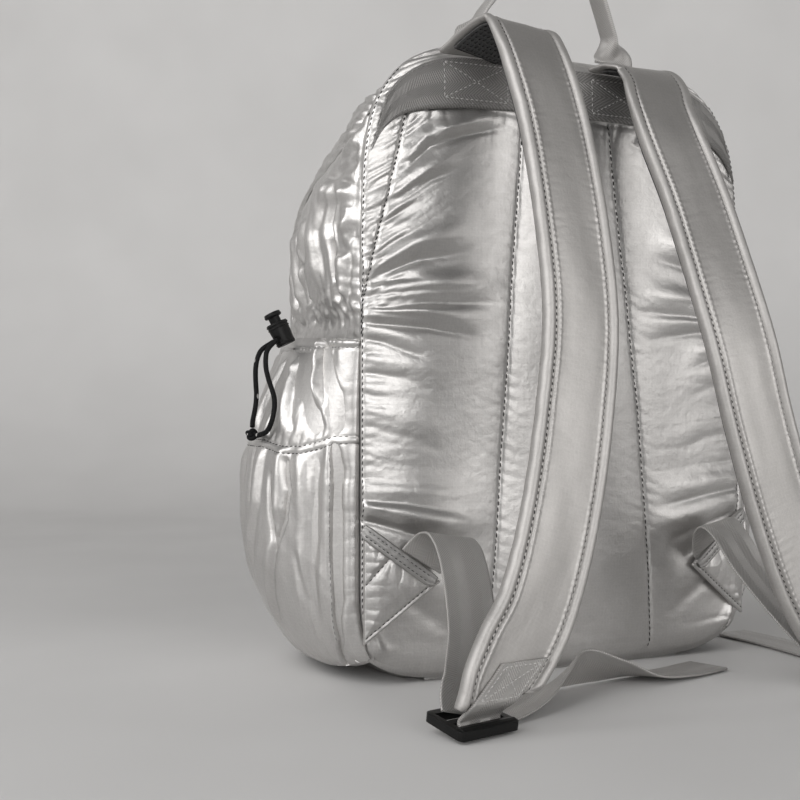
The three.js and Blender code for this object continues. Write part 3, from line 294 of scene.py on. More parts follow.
# ------------------------------------------------------------------ mesh making
def mesh_object(name, verts, quads=None, tris=None, mat=None, uv=None, flat=None, recalc=True):
    """verts in millimetres; quads and tris index them; flat marks faces (quads first) that aren't smooth."""
    q = np.zeros((0, 4), np.int64) if quads is None or len(quads) == 0 else np.asarray(quads, np.int64)
    t = np.zeros((0, 3), np.int64) if tris is None or len(tris) == 0 else np.asarray(tris, np.int64)
    loops = np.concatenate([q.ravel(), t.ravel()])
    totals = np.concatenate([np.full(len(q), 4), np.full(len(t), 3)])
    starts = np.concatenate([[0], np.cumsum(totals)[:-1]])
    me = bpy.data.meshes.new(name)
    me.vertices.add(len(verts))
    me.vertices.foreach_set("co", (np.asarray(verts, float) * MM).ravel())
    me.loops.add(len(loops))
    me.loops.foreach_set("vertex_index", loops.astype(np.int32))
    me.polygons.add(len(totals))
    me.polygons.foreach_set("loop_start", starts.astype(np.int32))
    me.update(calc_edges=True)
    smooth_flags = np.ones(len(totals), bool)
    if flat is not None:
        smooth_flags[flat] = False
    me.polygons.foreach_set("use_smooth", smooth_flags)
    if uv is not None:
        layer = me.uv_layers.new(name="cloth")
        layer.data.foreach_set("uv", np.asarray(uv, float)[loops].ravel())
    if recalc:
        bm = bmesh.new()
        bm.from_mesh(me)
        bmesh.ops.recalc_face_normals(bm, faces=bm.faces)
        bm.to_mesh(me)
        bm.free()
    me.validate()
    ob = bpy.data.objects.new(name, me)
    bpy.context.scene.collection.objects.link(ob)
    if mat is not None:
        me.materials.append(mat)
    return ob


def grid_normals(p, hint):
    """Unit normals of a grid of points, turned to the hint's side."""
    n = np.cross(np.gradient(p, axis=1), np.gradient(p, axis=0))
    n /= np.maximum(np.linalg.norm(n, axis=-1, keepdims=True), 1e-9)
    h = hint(p) if callable(hint) else np.broadcast_to(np.array(hint, float), p.shape)
    flip = np.sum(n * h, -1) < 0
    n[flip] *= -1
    return n


def closed_sheet(outer, inner, step):
    """A closed wall: a fine outer grid and a coarse inner one (every step-th point), joined round the rim."""
    nv, nu = outer.shape[0] - 1, outer.shape[1] - 1
    mv, mu = inner.shape[0] - 1, inner.shape[1] - 1
    idx = np.arange((nu + 1) * (nv + 1)).reshape(nv + 1, nu + 1)
    jdx = np.arange((mu + 1) * (mv + 1)).reshape(mv + 1, mu + 1) + idx.size
    q1 = np.stack([idx[:-1, :-1], idx[:-1, 1:], idx[1:, 1:], idx[1:, :-1]], -1).reshape(-1, 4)
    q2 = np.stack([jdx[:-1, :-1], jdx[1:, :-1], jdx[1:, 1:], jdx[:-1, 1:]], -1).reshape(-1, 4)
    tris = []

    def rim(fine, coarse):
        for k in range(len(coarse) - 1):
            f = fine[k * step:(k + 1) * step + 1]
            half = step // 2
            for m in range(step):
                tris.append((coarse[k] if m < half else coarse[k + 1], f[m], f[m + 1]))
            tris.append((coarse[k], coarse[k + 1], f[half]))

    rim(idx[0], jdx[0])
    rim(idx[-1], jdx[-1])
    rim(idx[:, 0], jdx[:, 0])
    rim(idx[:, -1], jdx[:, -1])
    verts = np.concatenate([outer.reshape(-1, 3), inner.reshape(-1, 3)])
    quads = np.concatenate([q1, q2])
    flat = np.arange(len(quads), len(quads) + len(tris))
    return verts, quads, np.array(tris), flat


class Panel:
    """A sewn panel: a fine displaced grid over a base surface, closed by a plain inner face."""

    def __init__(self, point, us, vs, hint, span, origin=(0, 0)):
        self.us, self.vs, self.span = us, vs, span
        self.u, self.v = np.meshgrid(us, vs)
        self.base = point(self.u, self.v)
        self.n = grid_normals(self.base, hint)
        self.a, self.b = self.u * span[0], self.v * span[1]
        self.h = np.zeros(self.u.shape)
        self.inward = None

    def finish(self, name, mat, thickness, step, inward=None, scale_uv=0.1, extra=None):
        self.p = self.base + self.n * self.h[..., None]
        if extra is not None:
            self.p = self.p + extra
        self.pn = grid_normals(self.p, lambda _: self.n)
        direction = -self.n if inward is None else np.broadcast_to(np.array(inward, float), self.n.shape)
        core = self.base + direction * thickness
        inner = core[::step, ::step]
        verts, quads, tris, flat = closed_sheet(self.p, inner, step)
        uv_outer = np.stack([self.a, self.b], -1) * scale_uv
        uv = np.concatenate([uv_outer.reshape(-1, 2), uv_outer[::step, ::step].reshape(-1, 2)])
        return mesh_object(name, verts, quads, tris, mat, uv, flat)

    def at(self, u, v, lift=0.0):
        """Point and normal on the finished surface."""
        fu = np.interp(u, self.us, np.arange(len(self.us)))
        fv = np.interp(v, self.vs, np.arange(len(self.vs)))
        i = np.minimum(fu.astype(int), len(self.us) - 2)
        j = np.minimum(fv.astype(int), len(self.vs) - 2)
        tu, tv = (fu - i)[:, None], (fv - j)[:, None]

        def mix(g):
            return (g[j, i] * (1 - tu) + g[j, i + 1] * tu) * (1 - tv) + (g[j + 1, i] * (1 - tu) + g[j + 1, i + 1] * tu) * tv

        p, n = mix(self.p), mix(self.pn)
        n /= np.linalg.norm(n, axis=-1, keepdims=True)
        return p + n * lift, n


def resample(points, normals, step):
    """Evenly spaced (point, normal, tangent) along a polyline."""
    seg = np.linalg.norm(np.diff(points, axis=0), axis=1)
    s = np.concatenate([[0], np.cumsum(seg)])
    count = max(2, int(s[-1] / step))
    t = (np.arange(count) + 0.5) * (s[-1] / count)
    p = np.stack([np.interp(t, s, points[:, k]) for k in range(3)], -1)
    n = np.stack([np.interp(t, s, normals[:, k]) for k in range(3)], -1)
    n /= np.linalg.norm(n, axis=1, keepdims=True)
    e = 0.4
    d = np.stack([np.interp(t + e, s, points[:, k]) - np.interp(t - e, s, points[:, k]) for k in range(3)], -1)
    d /= np.maximum(np.linalg.norm(d, axis=1, keepdims=True), 1e-9)
    return p, n, d


class Threads:
    """Collects stitches and makes one joined mesh of them."""

    RING = np.array([(math.cos(k * math.pi / 3), math.sin(k * math.pi / 3)) for k in range(6)])

    def __init__(self):
        self.verts, self.quads, self.tris, self.count = [], [], [], 0

    def line(self, points, normals, pitch=3.0, length=2.2, width=0.62, height=0.5, lean=0.0, sink=0.08):
        p, n, d = resample(points, normals, pitch)
        side = np.cross(n, d)
        side /= np.maximum(np.linalg.norm(side, axis=1, keepdims=True), 1e-9)
        d2 = d * math.cos(lean) + side * math.sin(lean)
        side2 = np.cross(n, d2)
        stations = [(-0.5, 0.0, -0.55), (-0.36, 0.72, -0.1), (0.0, 1.0, 0.1), (0.36, 0.72, -0.1), (0.5, 0.0, -0.55)]
        for k in range(len(p)):
            base = self.count
            block = []
            for s, r, z in stations:
                c = p[k] + d2[k] * (s * length) + n[k] * (z * height - sink)
                if r == 0:
                    block.append(c[None])
                else:
                    block.append(c + side2[k] * (self.RING[:, :1] * width / 2 * r) + n[k] * (self.RING[:, 1:] * height / 2 * r))
            self.verts.append(np.concatenate(block))
            a, rings, b = base, [base + 1 + 6 * m for m in range(3)], base + 19
            for m in range(6):
                m2 = (m + 1) % 6
                self.tris.append((a, rings[0] + m, rings[0] + m2))
                self.tris.append((b, rings[2] + m2, rings[2] + m))
                for r0, r1 in ((rings[0], rings[1]), (rings[1], rings[2])):
                    self.quads.append((r0 + m, r1 + m, r1 + m2, r0 + m2))
            self.count += 20

    def make(self, name, mat):
        return mesh_object(name, np.concatenate(self.verts), np.array(self.quads), np.array(self.tris), mat)


def sweep(centres, across, normal, sections):
    """A closed bar. sections is (stations, points, 2) of [across, normal] offsets."""
    s = np.asarray(sections, float)
    p = centres[:, None] + across[:, None] * s[..., :1] + normal[:, None] * s[..., 1:]
    return (*tube(p), p)


def tube(p):
    """Vertices and faces of a closed bar through rings of points."""
    k, m = p.shape[:2]
    idx = np.arange(k * m).reshape(k, m)
    nxt = np.roll(idx, -1, axis=1)
    quads = np.stack([idx[:-1], nxt[:-1], nxt[1:], idx[1:]], -1).reshape(-1, 4)
    verts = np.concatenate([p.reshape(-1, 3), p[0].mean(0)[None], p[-1].mean(0)[None]])
    a, b = k * m, k * m + 1
    tris = np.concatenate([np.stack([np.full(m, a), nxt[0], idx[0]], -1), np.stack([np.full(m, b), idx[-1], nxt[-1]], -1)])
    return verts, quads, tris


def stations_of(table, steps, hint, lean_at=None, span=None):
    """Centre, tangent, across and normal at even steps of the table's rows."""
    pos = np.linspace(*(span or (0, len(table) - 1)), steps + 1)
    row = at(table, pos)
    d = at(table, pos + 0.02)[:, :3] - at(table, pos - 0.02)[:, :3]
    d /= np.linalg.norm(d, axis=1, keepdims=True)
    w = hint(row)
    w = w - d * np.sum(w * d, 1, keepdims=True)
    w /= np.linalg.norm(w, axis=1, keepdims=True)
    return row, d, w, np.cross(d, w)


def yaw_tip(col):
    def hint(row):
        yaw, tip = np.radians(row[:, col]), np.radians(row[:, col + 1])
        return np.stack([np.cos(yaw) * np.cos(tip), np.sin(yaw) * np.cos(tip), np.sin(tip)], -1)
    return hint


def even(table, steps, hint):
    """Stations at even arc length."""
    fine = at(table, np.linspace(0, len(table) - 1, 1200))[:, :3]
    s = np.concatenate([[0], np.cumsum(np.linalg.norm(np.diff(fine, axis=0), axis=1))])
    pos = np.interp(np.linspace(0, s[-1], steps + 1), s, np.linspace(0, len(table) - 1, 1200))
    row = at(table, pos)
    d = at(table, pos + 0.03)[:, :3] - at(table, pos - 0.03)[:, :3]
    d /= np.linalg.norm(d, axis=1, keepdims=True)
    w = hint(row)
    w = w - d * np.sum(w * d, 1, keepdims=True)
    w /= np.linalg.norm(w, axis=1, keepdims=True)
    return row, d, w, np.cross(d, w), np.linspace(0, s[-1], steps + 1)


def mirror(ob, name):
    """A right-hand copy of a left-hand piece."""
    me = ob.data.copy()
    me.name = name
    co = np.empty(len(me.vertices) * 3)
    me.vertices.foreach_get("co", co)
    co[0::3] *= -1
    me.vertices.foreach_set("co", co)
    me.flip_normals()
    me.update()
    out = bpy.data.objects.new(name, me)
    bpy.context.scene.collection.objects.link(out)
    return out


# ------------------------------------------------------------------ materials
def node(nt, kind, inputs=None, **props):
    n = nt.nodes.new(kind)
    for key, value in props.items():
        setattr(n, key, value)
    for key, value in (inputs or {}).items():
        if isinstance(value, bpy.types.NodeSocket):
            nt.links.new(value, n.inputs[key])
        else:
            n.inputs[key].default_value = value
    return n


def maths(nt, op, a, b=None, c=None):
    ins = {0: a}
    if b is not None:
        ins[1] = b
    if c is not None:
        ins[2] = c
    return node(nt, "ShaderNodeMath", ins, operation=op).outputs[0]


def shader(name):
    m = bpy.data.materials.new(name)
    m.use_nodes = True
    nt = m.node_tree
    nt.nodes.clear()
    out = nt.nodes.new("ShaderNodeOutputMaterial")
    p = nt.nodes.new("ShaderNodeBsdfPrincipled")
    nt.links.new(p.outputs[0], out.inputs[0])
    return m, nt, p


def ramp(nt, fac, stops, interpolation="LINEAR"):
    n = node(nt, "ShaderNodeValToRGB", {"Fac": fac})
    n.color_ramp.interpolation = interpolation
    els = n.color_ramp.elements
    while len(els) < len(stops):
        els.new(0.5)
    for e, (pos, col) in zip(els, stops):
        e.position = pos
        e.color = (*col, 1) if len(col) == 3 else col
    return n.outputs["Color"]


def grey(v, warm=0.0):
    return (v * (1 + warm), v, v * (1 - warm))


def ripstop(name, light, dark, rough=(0.27, 0.40), metallic=0.85, grain=1.0, crinkle=1.0):
    """Coated silver ripstop: a 2 mm grid in a fine weave, small crinkles, a soft metallic coat."""
    m, nt, p = shader(name)
    uv = node(nt, "ShaderNodeUVMap", uv_map="cloth").outputs[0]
    xyz = node(nt, "ShaderNodeSeparateXYZ", {0: uv})
    coord = node(nt, "ShaderNodeTexCoord").outputs["Object"]

    def lines(v, pitch_cm, sharp):
        t = maths(nt, "PINGPONG", v, pitch_cm / 2)
        t = maths(nt, "DIVIDE", t, pitch_cm / 2)
        return maths(nt, "POWER", t, sharp)

    grid = maths(nt, "MAXIMUM", lines(xyz.outputs[0], 0.2, 9.0), lines(xyz.outputs[1], 0.2, 9.0))
    weave = maths(nt, "ADD", lines(xyz.outputs[0], 0.042, 1.0), lines(xyz.outputs[1], 0.05, 1.0))
    fine = node(nt, "ShaderNodeTexNoise", {"Vector": coord, "Scale": 900.0, "Detail": 3.0, "Roughness": 0.6}).outputs["Fac"]
    small = node(nt, "ShaderNodeTexNoise", {"Vector": coord, "Scale": 260.0, "Detail": 4.0, "Roughness": 0.62, "Distortion": 0.6}).outputs["Fac"]
    broad = node(nt, "ShaderNodeTexNoise", {"Vector": coord, "Scale": 26.0, "Detail": 3.0, "Roughness": 0.55}).outputs["Fac"]
    tone = maths(nt, "ADD", maths(nt, "MULTIPLY", broad, 0.6), maths(nt, "MULTIPLY", fine, 0.4))
    base = ramp(nt, tone, [(0.30, dark), (0.68, light)])
    mixed = node(nt, "ShaderNodeMix", {0: maths(nt, "MULTIPLY", grid, 0.16), 6: base, 7: (*[min(1, c * 1.25) for c in light], 1)}, data_type="RGBA")
    nt.links.new(mixed.outputs[2], p.inputs["Base Color"])
    p.inputs["Metallic"].default_value = metallic
    r = maths(nt, "ADD", maths(nt, "MULTIPLY", small, rough[1] - rough[0]), rough[0])
    nt.links.new(r, p.inputs["Roughness"])
    b1 = node(nt, "ShaderNodeBump", {"Height": small, "Strength": 0.16 * crinkle, "Distance": 0.0012})
    b2 = node(nt, "ShaderNodeBump", {"Height": grid, "Strength": 0.12 * grain, "Distance": 0.00006, "Normal": b1.outputs[0]})
    b3 = node(nt, "ShaderNodeBump", {"Height": weave, "Strength": 0.12 * grain, "Distance": 0.00004, "Normal": b2.outputs[0]})
    b4 = node(nt, "ShaderNodeBump", {"Height": fine, "Strength": 0.30 * grain, "Distance": 0.00012, "Normal": b3.outputs[0]})
    nt.links.new(b4.outputs[0], p.inputs["Normal"])
    return m


def webbing(name, light, dark, zigzag=0.62, pitch=0.155, metallic=0.35, rough=0.42):
    """Twill tape: slanted ribs that turn back at each chevron, with a firm edge."""
    m, nt, p = shader(name)
    uv = node(nt, "ShaderNodeUVMap", uv_map="cloth").outputs[0]
    xyz = node(nt, "ShaderNodeSeparateXYZ", {0: uv})
    coord = node(nt, "ShaderNodeTexCoord").outputs["Object"]
    across, along = xyz.outputs[0], xyz.outputs[1]
    slant = maths(nt, "PINGPONG", across, zigzag)
    rib = maths(nt, "PINGPONG", maths(nt, "ADD", along, slant), pitch / 2)
    rib = maths(nt, "DIVIDE", rib, pitch / 2)
    yarn = maths(nt, "DIVIDE", maths(nt, "PINGPONG", across, 0.03), 0.03)
    fine = node(nt, "ShaderNodeTexNoise", {"Vector": coord, "Scale": 1400.0, "Detail": 2.0}).outputs["Fac"]
    broad = node(nt, "ShaderNodeTexNoise", {"Vector": coord, "Scale": 40.0, "Detail": 2.0}).outputs["Fac"]
    f = maths(nt, "ADD", maths(nt, "MULTIPLY", rib, 0.62), maths(nt, "ADD", maths(nt, "MULTIPLY", fine, 0.2), maths(nt, "MULTIPLY", broad, 0.25)))
    nt.links.new(ramp(nt, f, [(0.15, dark), (0.85, light)]), p.inputs["Base Color"])
    p.inputs["Metallic"].default_value = metallic
    nt.links.new(maths(nt, "ADD", maths(nt, "MULTIPLY", fine, 0.14), rough - 0.07), p.inputs["Roughness"])
    b1 = node(nt, "ShaderNodeBump", {"Height": rib, "Strength": 0.75, "Distance": 0.00022})
    b2 = node(nt, "ShaderNodeBump", {"Height": yarn, "Strength": 0.3, "Distance": 0.00008, "Normal": b1.outputs[0]})
    b3 = node(nt, "ShaderNodeBump", {"Height": fine, "Strength": 0.3, "Distance": 0.0001, "Normal": b2.outputs[0]})
    nt.links.new(b3.outputs[0], p.inputs["Normal"])
    return m


def plain(name, low, high, scale, rough, metallic=0.0, bump=0.2, depth=0.0001, detail=3.0, gloss=0.5):
    m, nt, p = shader(name)
    p.inputs["Specular IOR Level"].default_value = gloss
    coord = node(nt, "ShaderNodeTexCoord").outputs["Object"]
    fine = node(nt, "ShaderNodeTexNoise", {"Vector": coord, "Scale": scale, "Detail": detail}).outputs["Fac"]
    nt.links.new(ramp(nt, fine, [(0.35, low), (0.65, high)]), p.inputs["Base Color"])
    nt.links.new(maths(nt, "ADD", maths(nt, "MULTIPLY", fine, 0.16), rough - 0.08), p.inputs["Roughness"])
    p.inputs["Metallic"].default_value = metallic
    b = node(nt, "ShaderNodeBump", {"Height": fine, "Strength": bump, "Distance": depth})
    nt.links.new(b.outputs[0], p.inputs["Normal"])
    return m


def cord_material(name):
    """Black braid with a sparse light tracer yarn."""
    m, nt, p = shader(name)
    coord = node(nt, "ShaderNodeTexCoord").outputs["Object"]
    stretched = node(nt, "ShaderNodeVectorMath", {0: coord, 1: (1.0, 1.0, 0.45)}, operation="MULTIPLY").outputs[0]
    cells = node(nt, "ShaderNodeTexVoronoi", {"Vector": stretched, "Scale": 900.0}, feature="F1")
    sparse = node(nt, "ShaderNodeTexVoronoi", {"Vector": stretched, "Scale": 470.0}, feature="F1")
    pick = maths(nt, "GREATER_THAN", node(nt, "ShaderNodeSeparateColor", {0: sparse.outputs["Color"]}).outputs[0], 0.86)
    spot = maths(nt, "MULTIPLY", pick, maths(nt, "LESS_THAN", sparse.outputs["Distance"], 0.34))
    mixed = node(nt, "ShaderNodeMix", {0: spot, 6: (0.004, 0.004, 0.0045, 1), 7: (0.42, 0.41, 0.40, 1)}, data_type="RGBA")
    nt.links.new(mixed.outputs[2], p.inputs["Base Color"])
    nt.links.new(maths(nt, "ADD", maths(nt, "MULTIPLY", cells.outputs["Distance"], 0.3), 0.55), p.inputs["Roughness"])
    p.inputs["Specular IOR Level"].default_value = 0.2
    b = node(nt, "ShaderNodeBump", {"Height": cells.outputs["Distance"], "Strength": 0.9, "Distance": 0.0003}, invert=True)
    nt.links.new(b.outputs[0], p.inputs["Normal"])
    return m


RIPSTOP = ripstop("ripstop", grey(0.64, 0.02), grey(0.50, 0.022), rough=(0.32, 0.46))
# Painted shade: the straps' face and rolled edges are the body's silver ripstop toned darker, standing in for the shade
# on the straps.
RIPSTOP_STRAP_SHADED = ripstop("ripstop_strap_shaded", grey(0.47, 0.03), grey(0.38, 0.03), rough=(0.40, 0.50), metallic=0.8, crinkle=0.5)
RIPSTOP_EDGE_SHADED = ripstop("ripstop_edge_shaded", grey(0.46, 0.03), grey(0.37, 0.03), rough=(0.46, 0.58), metallic=0.75, crinkle=0.8)
# Painted shade: the body's silver ripstop toned darker for the top gusset and the base, which face away from the light.
RIPSTOP_PAINTED_SHADE = ripstop("ripstop_painted_shade", grey(0.46, 0.02), grey(0.36, 0.02), crinkle=0.6)
BINDING = ripstop("binding", grey(0.44, 0.02), grey(0.34, 0.02), rough=(0.40, 0.52), metallic=0.75, grain=1.6)
TWILL = webbing("twill", grey(0.29, 0.03), grey(0.13, 0.03))
TWILL_LIGHT = webbing("twill_light", grey(0.48, 0.03), grey(0.28, 0.03), zigzag=0.62, pitch=0.12, rough=0.36)
THREAD_DARK = plain("thread_dark", grey(0.022), grey(0.045), 1500.0, 0.6, bump=0.4, gloss=0.2)
THREAD_MID = plain("thread_mid", grey(0.16, 0.02), grey(0.28, 0.02), 1500.0, 0.5, bump=0.4)
THREAD_LIGHT = plain("thread_light", grey(0.40, 0.02), grey(0.58, 0.02), 1500.0, 0.45, bump=0.4)
PLASTIC = plain("black_plastic", grey(0.004), grey(0.007), 700.0, 0.42, bump=0.12, depth=0.00006, gloss=0.22)
SPACER = plain("spacer_mesh", grey(0.045), grey(0.085), 1100.0, 0.6, bump=0.6, depth=0.00015)
CORD = cord_material("cord")
ZIP_TAPE = webbing("zip_tape", grey(0.16, 0.02), grey(0.09, 0.02), zigzag=50.0, pitch=0.09, metallic=0.1, rough=0.6)
ZIP_COIL = plain("zip_coil", grey(0.10, 0.02), grey(0.16, 0.02), 900.0, 0.4)

# ------------------------------------------------------------------ cords first
def centripetal(points, count):
    """Evenly spaced points on the smooth curve that the CAD strands follow."""
    pts = np.array(points, float)
    n = len(pts)
    out = []
    for i in range(n - 1):
        p1, p2 = pts[i], pts[i + 1]
        p0 = pts[i - 1] if i > 0 else 2 * p1 - p2
        p3 = pts[i + 2] if i + 2 < n else 2 * p2 - p1
        d0, d1, d2 = (np.linalg.norm(q - r) ** 0.5 for q, r in ((p0, p1), (p1, p2), (p2, p3)))
        t1 = (p1 - p0) / d0 - (p2 - p0) / (d0 + d1) + (p2 - p1) / d1
        t2 = (p2 - p1) / d1 - (p3 - p1) / (d1 + d2) + (p3 - p2) / d2
        t1, t2 = t1 * d1, t2 * d1
        for k in range(20 if i < n - 2 else 21):
            t = k / 20
            out.append((2 * t**3 - 3 * t**2 + 1) * p1 + (t**3 - 2 * t**2 + t) * t1 + (3 * t**2 - 2 * t**3) * p2 + (t**3 - t**2) * t2)
    out = np.array(out)
    s = np.concatenate([[0], np.cumsum(np.linalg.norm(np.diff(out, axis=0), axis=1))])
    t = np.linspace(0, s[-1], count)
    return np.stack([np.interp(t, s, out[:, k]) for k in range(3)], -1)


def cord_curve(name, points):
    data = bpy.data.curves.new(name, "CURVE")
    data.dimensions = "3D"
    data.bevel_depth = CORD_DIAMETER / 2 * MM
    data.bevel_resolution = 3
    data.use_fill_caps = True
    spline = data.splines.new("POLY")
    spline.points.add(len(points) - 1)
    for k, p in enumerate(points):
        spline.points[k].co = (*(p * MM), 1)
    spline.use_smooth = True
    ob = bpy.data.objects.new(name, data)
    bpy.context.scene.collection.objects.link(ob)
    data.materials.append(CORD)
    return ob


def knot_mesh(name, centre, sign):
    """An overhand knot pulled tight: three crossing cord lobes round a core."""
    t = np.linspace(0, 2 * np.pi, 97)[:-1]
    path = np.stack([(1.0 + 0.42 * np.cos(3 * t)) * np.cos(2 * t) * 1.75, (1.0 + 0.42 * np.cos(3 * t)) * np.sin(2 * t) * 1.75, 1.15 * np.sin(3 * t)], -1)
    d = np.roll(path, -1, 0) - np.roll(path, 1, 0)
    d /= np.linalg.norm(d, axis=1, keepdims=True)
    ref = path * (1, 1, 0)
    w = ref - d * np.sum(ref * d, 1, keepdims=True)
    w /= np.linalg.norm(w, axis=1, keepdims=True)
    n = np.cross(d, w)
    ring = np.array([(math.cos(a), math.sin(a)) for a in np.linspace(0, 2 * np.pi, 13)[:-1]]) * 1.28
    p = path[:, None] + w[:, None] * ring[None, :, :1] + n[:, None] * ring[None, :, 1:]
    idx = np.arange(96 * 12).reshape(96, 12)
    quads = np.stack([idx, np.roll(idx, -1, 1), np.roll(np.roll(idx, -1, 1), -1, 0), np.roll(idx, -1, 0)], -1).reshape(-1, 4)
    turn = np.array(Matrix.Rotation(0.9, 3, "X") @ Matrix.Rotation(0.5, 3, "Z"))
    verts = p.reshape(-1, 3) @ turn.T
    verts[:, 0] *= sign
    return mesh_object(name, verts + centre, quads, None, CORD)


for side, sign in (("left", -1), ("right", 1)):
    flip = np.array([-sign, 1, 1], float)
    knot = knot_mesh(f"hem_cord_knot_{side}", KNOT * flip, -sign)
    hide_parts(f"drawcord_knot_{side}")
    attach(knot, "pack")
    for part, table in (("rear", CORD_REAR), ("front", CORD_FRONT)):
        points = centripetal(table, 34) * flip
        strand = cord_curve(f"hem_cord_{part}_{side}", points)
        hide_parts(f"drawcord_{part}_{side}")
        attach(strand, "pack")


# ------------------------------------------------------------------ body panels
def even_rows(rows_of, count, lo=0.0, hi=1.0):
    """v values that are evenly spaced along a seam."""
    v = np.linspace(lo, hi, 2000)
    p = rows_of(v)
    s = np.concatenate([[0], np.cumsum(np.linalg.norm(np.diff(p, axis=0), axis=1))])
    return np.interp(np.linspace(0, s[-1], count + 1), s, v)


def dense_ends(count, k=0.05):
    t = np.linspace(0, 1, count + 1)
    return t - k * np.sin(2 * np.pi * t)


def flipped(ob, name=None):
    """Turns a left-hand piece into a right-hand one in place."""
    me = ob.data
    co = np.empty(len(me.vertices) * 3)
    me.vertices.foreach_get("co", co)
    co[0::3] *= -1
    me.vertices.foreach_set("co", co)
    me.flip_normals()
    me.update()
    return ob


def done(ob, slot, *nodes, body="pack"):
    if nodes:
        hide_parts(*nodes)
    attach(ob, body)
    return ob


CURVE_X = np.array([-121.5, -121, -116, -108, -101, -97, -95.5])
CURVE_Z = np.array([180, 194, 220, 251, 277, 296, 306])
LEFT_LINE = (np.array([1, 52, 180, 303]), np.array([-49, -46, -37, -28]))
RIGHT_LINE = (np.array([1, 11, 148, 300]), np.array([58, 58, 46, 27]))

BACK_FOLDS = [
    ([(-120, 213.5), (-92.7, 228), (-58, 237)], 5.2, 3.1, 0.55, 0.50, 8.5),
    ([(-120, 209.5), (-100, 213.5), (-80, 215.5)], 2.6, 1.3, 0.5, 0.45, 3.5),
    ([(-121, 204), (-90, 209.5), (-58, 213)], 3.4, 2.0, 0.5, 0.5, 5.0),
    ([(-114, 199.5), (-80, 205), (-44, 209)], 4.6, 2.8, 0.6, 0.55, 8.0),
    ([(-122, 195.5), (-95, 195), (-72, 193.5)], 2.8, 1.7, 0.5, 0.45, 4.0),
    ([(-119, 191.0), (-86, 192), (-50, 189.5)], 4.2, 2.6, 0.6, 0.55, 7.5),
    ([(-120, 184), (-108, 182), (-78, 174)], 4.0, 1.4, 0.5, 0.45, 6.0),
    ([(-111, 249), (-95.9, 263), (-64, 282)], 4.0, 1.9, 0.5, 0.45, 6.5),
    ([(-103, 252), (-86, 265.5), (-64, 277)], 3.0, 1.1, 0.5, 0.45, 5.0),
    ([(-97, 273), (-86, 284.5), (-54, 298)], 4.0, 2.0, 0.5, 0.5, 6.0),
    ([(-112, 241), (-93, 255)], 3.0, 1.3, 0.5, 0.4, 4.0),
    ([(-116, 231), (-101, 243)], 3.0, 1.3, 0.5, 0.4, 4.0),
    ([(-118, 222), (-102, 235), (-86, 244)], 3.2, 1.5, 0.5, 0.4, 5.0),
    ([(-78, 288), (-40, 299.5)], 4.0, 1.8, 0.5, 0.5, 5.0),
    ([(-121, 101.5), (-99, 100.5), (-56, 95)], 5.0, 1.5, 0.4, 0.5, 7.0),
    ([(-121, 92.5), (-102, 88.5), (-54, 78)], 5.5, 3.2, 0.7, 0.6, 9.0),
    ([(-119, 22), (-106, 14)], 3.0, 1.2, 0.3, 0.5, 4.0),
    ([(-117, 32), (-110, 15)], 3.0, 1.5, 0.3, 0.5, 4.0),
    ([(-118, 168), (-96, 166), (-74, 160)], 6.0, 0.8, 0.4, 0.5, 8.0),
    ([(-118, 140), (-92, 136), (-70, 128)], 6.0, 0.7, 0.4, 0.5, 8.0),
    ([(-100, 60), (-60, 40)], 12.0, 1.6, 0.2, 0.6, 14.0),
]


